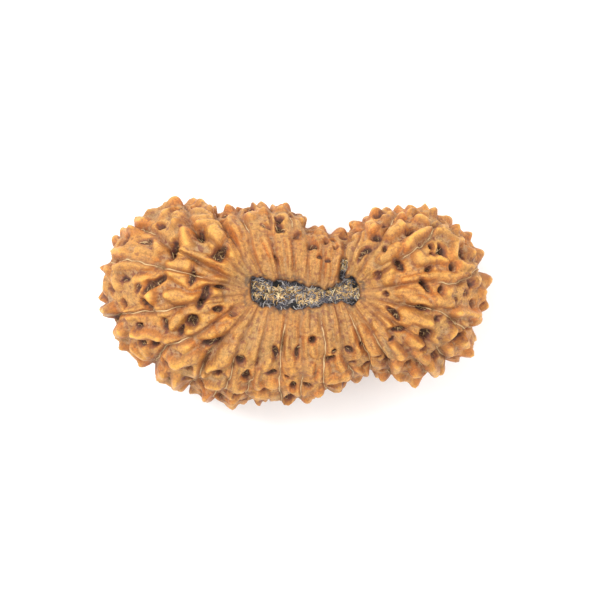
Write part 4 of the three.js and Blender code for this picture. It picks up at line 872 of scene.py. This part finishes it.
def end_tree(tree, geometry, material):
    """The end of a tree: real meshes instead of instances, shaded smooth, with their material."""
    geometry = add(tree, "GeometryNodeSetShadeSmooth", {"Geometry": geometry})
    geometry = add(tree, "GeometryNodeRealizeInstances", {"Geometry": geometry})
    geometry = add(tree, "GeometryNodeSetMaterial", {"Geometry": geometry, "Material": material})
    add(tree, "NodeGroupOutput", {"Geometry": geometry})


def modified(piece, tree, codes, values):
    """Runs the tree on the piece with the named values, and keeps the result as its plain mesh."""
    modifier = piece.modifiers.new(tree.name, "NODES")
    modifier.node_group = tree
    for key, value in values.items():
        modifier[codes[key]] = value
    evaluated = piece.evaluated_get(bpy.context.evaluated_depsgraph_get())
    piece.data = bpy.data.meshes.new_from_object(evaluated)
    piece.modifiers.clear()


tree, given, codes = geometry_tree("thread", (("Radius", "Float"), ("Material", "Material")))
curve = add(tree, "GeometryNodeMeshToCurve", {"Mesh": given["Geometry"]})
girth = add(tree, "GeometryNodeInputNamedAttribute", {"Name": "girth"}, out="Attribute", data_type="FLOAT")
curve = add(tree, "GeometryNodeSetCurveRadius", {"Curve": curve, "Radius": girth})
ring = add(tree, "GeometryNodeCurvePrimitiveCircle", {"Resolution": 6, "Radius": given["Radius"]})
tube = add(tree, "GeometryNodeCurveToMesh", {
    "Curve": curve, "Profile Curve": ring, "Fill Caps": True, "Scale": girth})
end_tree(tree, tube, given["Material"])
threads = show("seam_threads", lines)
modified(threads, tree, codes, {"Radius": THREAD_RADIUS * MM, "Material": bast})
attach(threads, "root")

# Pulp fibres: what is left of the dried fruit in the mouths and in the deep pits, short curled fibres
# packed at all angles, blue-black with age in the mouths, where straw-coloured ones run along the
# middle. Dust colours those in the pits, and pale lint lies in some hollows. All cling where they dried.
tree, given, codes = geometry_tree("fibres", (
    ("Density", "Float"), ("Length", "Float"), ("Radius", "Float"), ("Curl", "Float"), ("Lean", "Float"),
    ("Spin", "Float"), ("Seed", "Int"), ("Material", "Material")))
# One fibre: a bowed curve of the given length, with a square section
ends = []
for share in (-0.5, 0.5):
    x = add(tree, MATH, {0: given["Length"], 1: share}, **TIMES)
    ends.append(add(tree, "ShaderNodeCombineXYZ", {"X": x}))
bow = add(tree, MATH, {0: given["Length"], 1: given["Curl"]}, **TIMES)
bow = add(tree, "ShaderNodeCombineXYZ", {"Y": bow, "Z": bow})
curve = add(tree, "GeometryNodeCurveQuadraticBezier", {
    "Resolution": 5, "Start": ends[0], "Middle": bow, "End": ends[1]})
ring = add(tree, "GeometryNodeCurvePrimitiveCircle", {"Resolution": 4, "Radius": given["Radius"]})
fibre = add(tree, "GeometryNodeCurveToMesh", {"Curve": curve, "Profile Curve": ring, "Fill Caps": True})
# Its copies on the bed: each leans by up to Lean, is turned by up to Spin, and has a size and a tone
points = add(tree, "GeometryNodeDistributePointsOnFaces", {
    "Mesh": given["Geometry"], "Density": given["Density"], "Seed": given["Seed"]})
upward = add(tree, "FunctionNodeAlignRotationToVector", {
    "Vector": points.node.outputs["Normal"]}, axis="Z")
back = add(tree, MATH, {0: given["Lean"], 1: -1.0}, **TIMES)
against = add(tree, MATH, {0: given["Spin"], 1: -1.0}, **TIMES)
least = add(tree, "ShaderNodeCombineXYZ", {"X": back, "Y": back, "Z": against})
most = add(tree, "ShaderNodeCombineXYZ", {"X": given["Lean"], "Y": given["Lean"], "Z": given["Spin"]})
turn = add(tree, "FunctionNodeRandomValue", {
    0: least, 1: most, "Seed": given["Seed"]}, data_type="FLOAT_VECTOR")
turned = add(tree, "FunctionNodeRotateRotation", {0: upward, 1: turn}, rotation_space="LOCAL")
size = add(tree, "FunctionNodeRandomValue", {2: 0.5, 3: 1.4, "Seed": 7}, out=1, data_type="FLOAT")
tone = add(tree, "FunctionNodeRandomValue", {2: 0.0, 3: 1.0, "Seed": 3}, out=1, data_type="FLOAT")
placed = add(tree, "GeometryNodeInstanceOnPoints", {
    "Points": points, "Instance": fibre, "Rotation": turned, "Scale": size})
placed = add(tree, "GeometryNodeStoreNamedAttribute", {
    "Geometry": placed, "Name": "tone", "Value": tone}, data_type="FLOAT", domain="INSTANCE")
end_tree(tree, placed, given["Material"])


def fibre_material(name, codes):
    """Dried plant fibre, matt; each has a tone of its own, from dark over middling to pale."""
    material, tree, bsdf = material_of(name)
    tone = add(tree, "ShaderNodeAttribute", out="Fac", attribute_name="tone")
    early = add(tree, MAP, {"Value": tone, "From Max": 0.5})
    late = add(tree, MAP, {"Value": tone, "From Min": 0.5})
    colour = add(tree, BLEND, {0: early, 6: linear(codes[0]), 7: linear(codes[1])}, **MIX)
    colour = add(tree, BLEND, {0: late, 6: colour, 7: linear(codes[2])}, **MIX)
    tree.links.new(colour, bsdf.inputs["Base Color"])
    bsdf.inputs["Roughness"].default_value = 0.75
    return material


def bed_of(name, chosen):
    """The faces of the stone whose corners are all among the chosen points."""
    bed = stone_mesh.copy()
    bed.name = name
    made = bmesh.new()
    made.from_mesh(bed)
    made.verts.ensure_lookup_table()
    bmesh.ops.delete(made, geom=[v for v in made.verts if not chosen[v.index]], context="VERTS")
    made.to_mesh(bed)
    made.free()
    bed.materials.clear()
    return bed


# Old pulp has dried blue-black, clean pulp like straw, and what the dust reached is brown
dark = fibre_material("blackened_pulp_fibre", ("26242a", "66636c", "bcb4ac"))
straw = fibre_material("straw_pulp_fibre", ("96703e", "ddb478", "fbe6b2"))
dusty = fibre_material("dusty_pit_fibre", ("3a2620", "84603f", "e0bf88"))
pale = fibre_material("pale_lint", ("7c5c40", "b5905f", "ecd4a4"))
# Straw lies in three stretches within this of the mouth's middle line, and in the end of the cleft,
# past this y; lint lies in patches of the hollows, this low
STRAW_SPANS = [(-4.0, -0.85), (0.2, 2.3), (3.7, 6.2)]
STRAW_HALF = 0.7
STRAW_CLEFT = 3.0
LINT_LOW = -0.24
in_mouth = marks["mouth"] > 0.5
in_spans = np.any([(plan_x > first) & (plan_x < last) for first, last in STRAW_SPANS], axis=0)
strawy = ((off_middle(spots["p"]) < STRAW_HALF) & in_spans) | ((plan_y > STRAW_CLEFT) & in_mouth)
packed = in_mouth & (marks["opening"] < 0.5)
patchy = noise(spots["p"] * 0.9 + 3.1) > 0.02
linty = (marks["rise"] < LINT_LOW) & (marks["pit"] < 0.2) & (marks["mouth"] < 0.2) & patchy
# How far a fibre bows, as a share of its length, and how far most of them turn: half a turn each way
CURL = 0.4
ANY_WAY = 3.14
# (piece, bed, fibres per square metre, length, half thickness, lean and spin in radians, seed,
# material). The real ones are thinner than a pixel, and are drawn as thick as they need to show.
for name, chosen, density, length, radius, lean, spin, seed, material in (
    ("mouth_fibres", packed, 3.6e7, 0.65, 0.03, 0.7, ANY_WAY, 1, dark),
    ("straw_fibres", packed & strawy, 4.8e7, 0.7, 0.028, 0.5, 1.6, 2, straw),
    ("pit_fibres", marks["pit"] > 0.5, 2.1e7, 0.45, 0.03, 0.8, ANY_WAY, 3, dusty),
    ("hollow_fibres", linty, 3.0e7, 0.45, 0.02, 0.3, ANY_WAY, 4, pale),
):
    piece = show(name, bed_of(name, chosen))
    modified(piece, tree, codes, {
        "Density": density, "Length": length * MM, "Radius": radius * MM, "Curl": CURL, "Lean": lean,
        "Spin": spin, "Seed": seed, "Material": material})
    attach(piece, "root")

# The floor: a sheet of matt white card, two metres square, that lies flat a tenth of a millimetre
# under the stone, so that the two never share a plane.
FLOOR_SIDE = 2.0
FLOOR_LEVEL = -0.0001
bpy.ops.mesh.primitive_plane_add(size=FLOOR_SIDE, location=(0.0, 0.0, FLOOR_LEVEL))
floor = bpy.context.object
floor.name = "floor"
card, tree, bsdf = material_of("white_card")
bsdf.inputs["Base Color"].default_value = linear("ffffff")
bsdf.inputs["Roughness"].default_value = 0.9
floor.data.materials.append(card)

# The light: two soft square lamps that face the stone, and the white room around them.
# (name, place and side in metres, watts)
LAMPS = (("key", (-0.16, 0.11, 0.30), 0.12, 0.82), ("fill", (0.25, 0.02, 0.30), 0.25, 0.4))
ROOM_LIGHT = 1.08
for name, spot, side, watts in LAMPS:
    lamp = bpy.data.lights.new(name, "AREA")
    lamp.size = side
    lamp.energy = watts
    holder = show(name, lamp)
    holder.location = spot
    holder.rotation_euler = Vector(spot).to_track_quat("Z", "Y").to_euler()
world = bpy.data.worlds.new("room")
bpy.context.scene.world = world
world.use_nodes = True
background = world.node_tree.nodes["Background"]
background.inputs["Color"].default_value = linear("ffffff")
background.inputs["Strength"].default_value = ROOM_LIGHT
bpy.context.scene.view_settings.view_transform = "Standard"

# The camera: a long lens that looks straight down. The picture is square, PICTURE pixels to a side,
# each PIXEL wide at the girdle, and the zero of the numbers above falls on ZERO_PIXEL.
PICTURE = 600
PIXEL = 0.0985 * MM
ZERO_PIXEL = (294.5, 302.0)
LENS = 120
lens = bpy.data.cameras.new("camera")
lens.lens = LENS
camera = show("camera", lens)
aim_x = (PICTURE / 2 - ZERO_PIXEL[0]) * PIXEL - MIDDLE[0] * MM
aim_y = (ZERO_PIXEL[1] - PICTURE / 2) * PIXEL - MIDDLE[1] * MM
camera.location = (aim_x, aim_y, REST_DEPTH * MM + LENS * PICTURE * PIXEL / lens.sensor_width)
bpy.context.scene.camera = camera
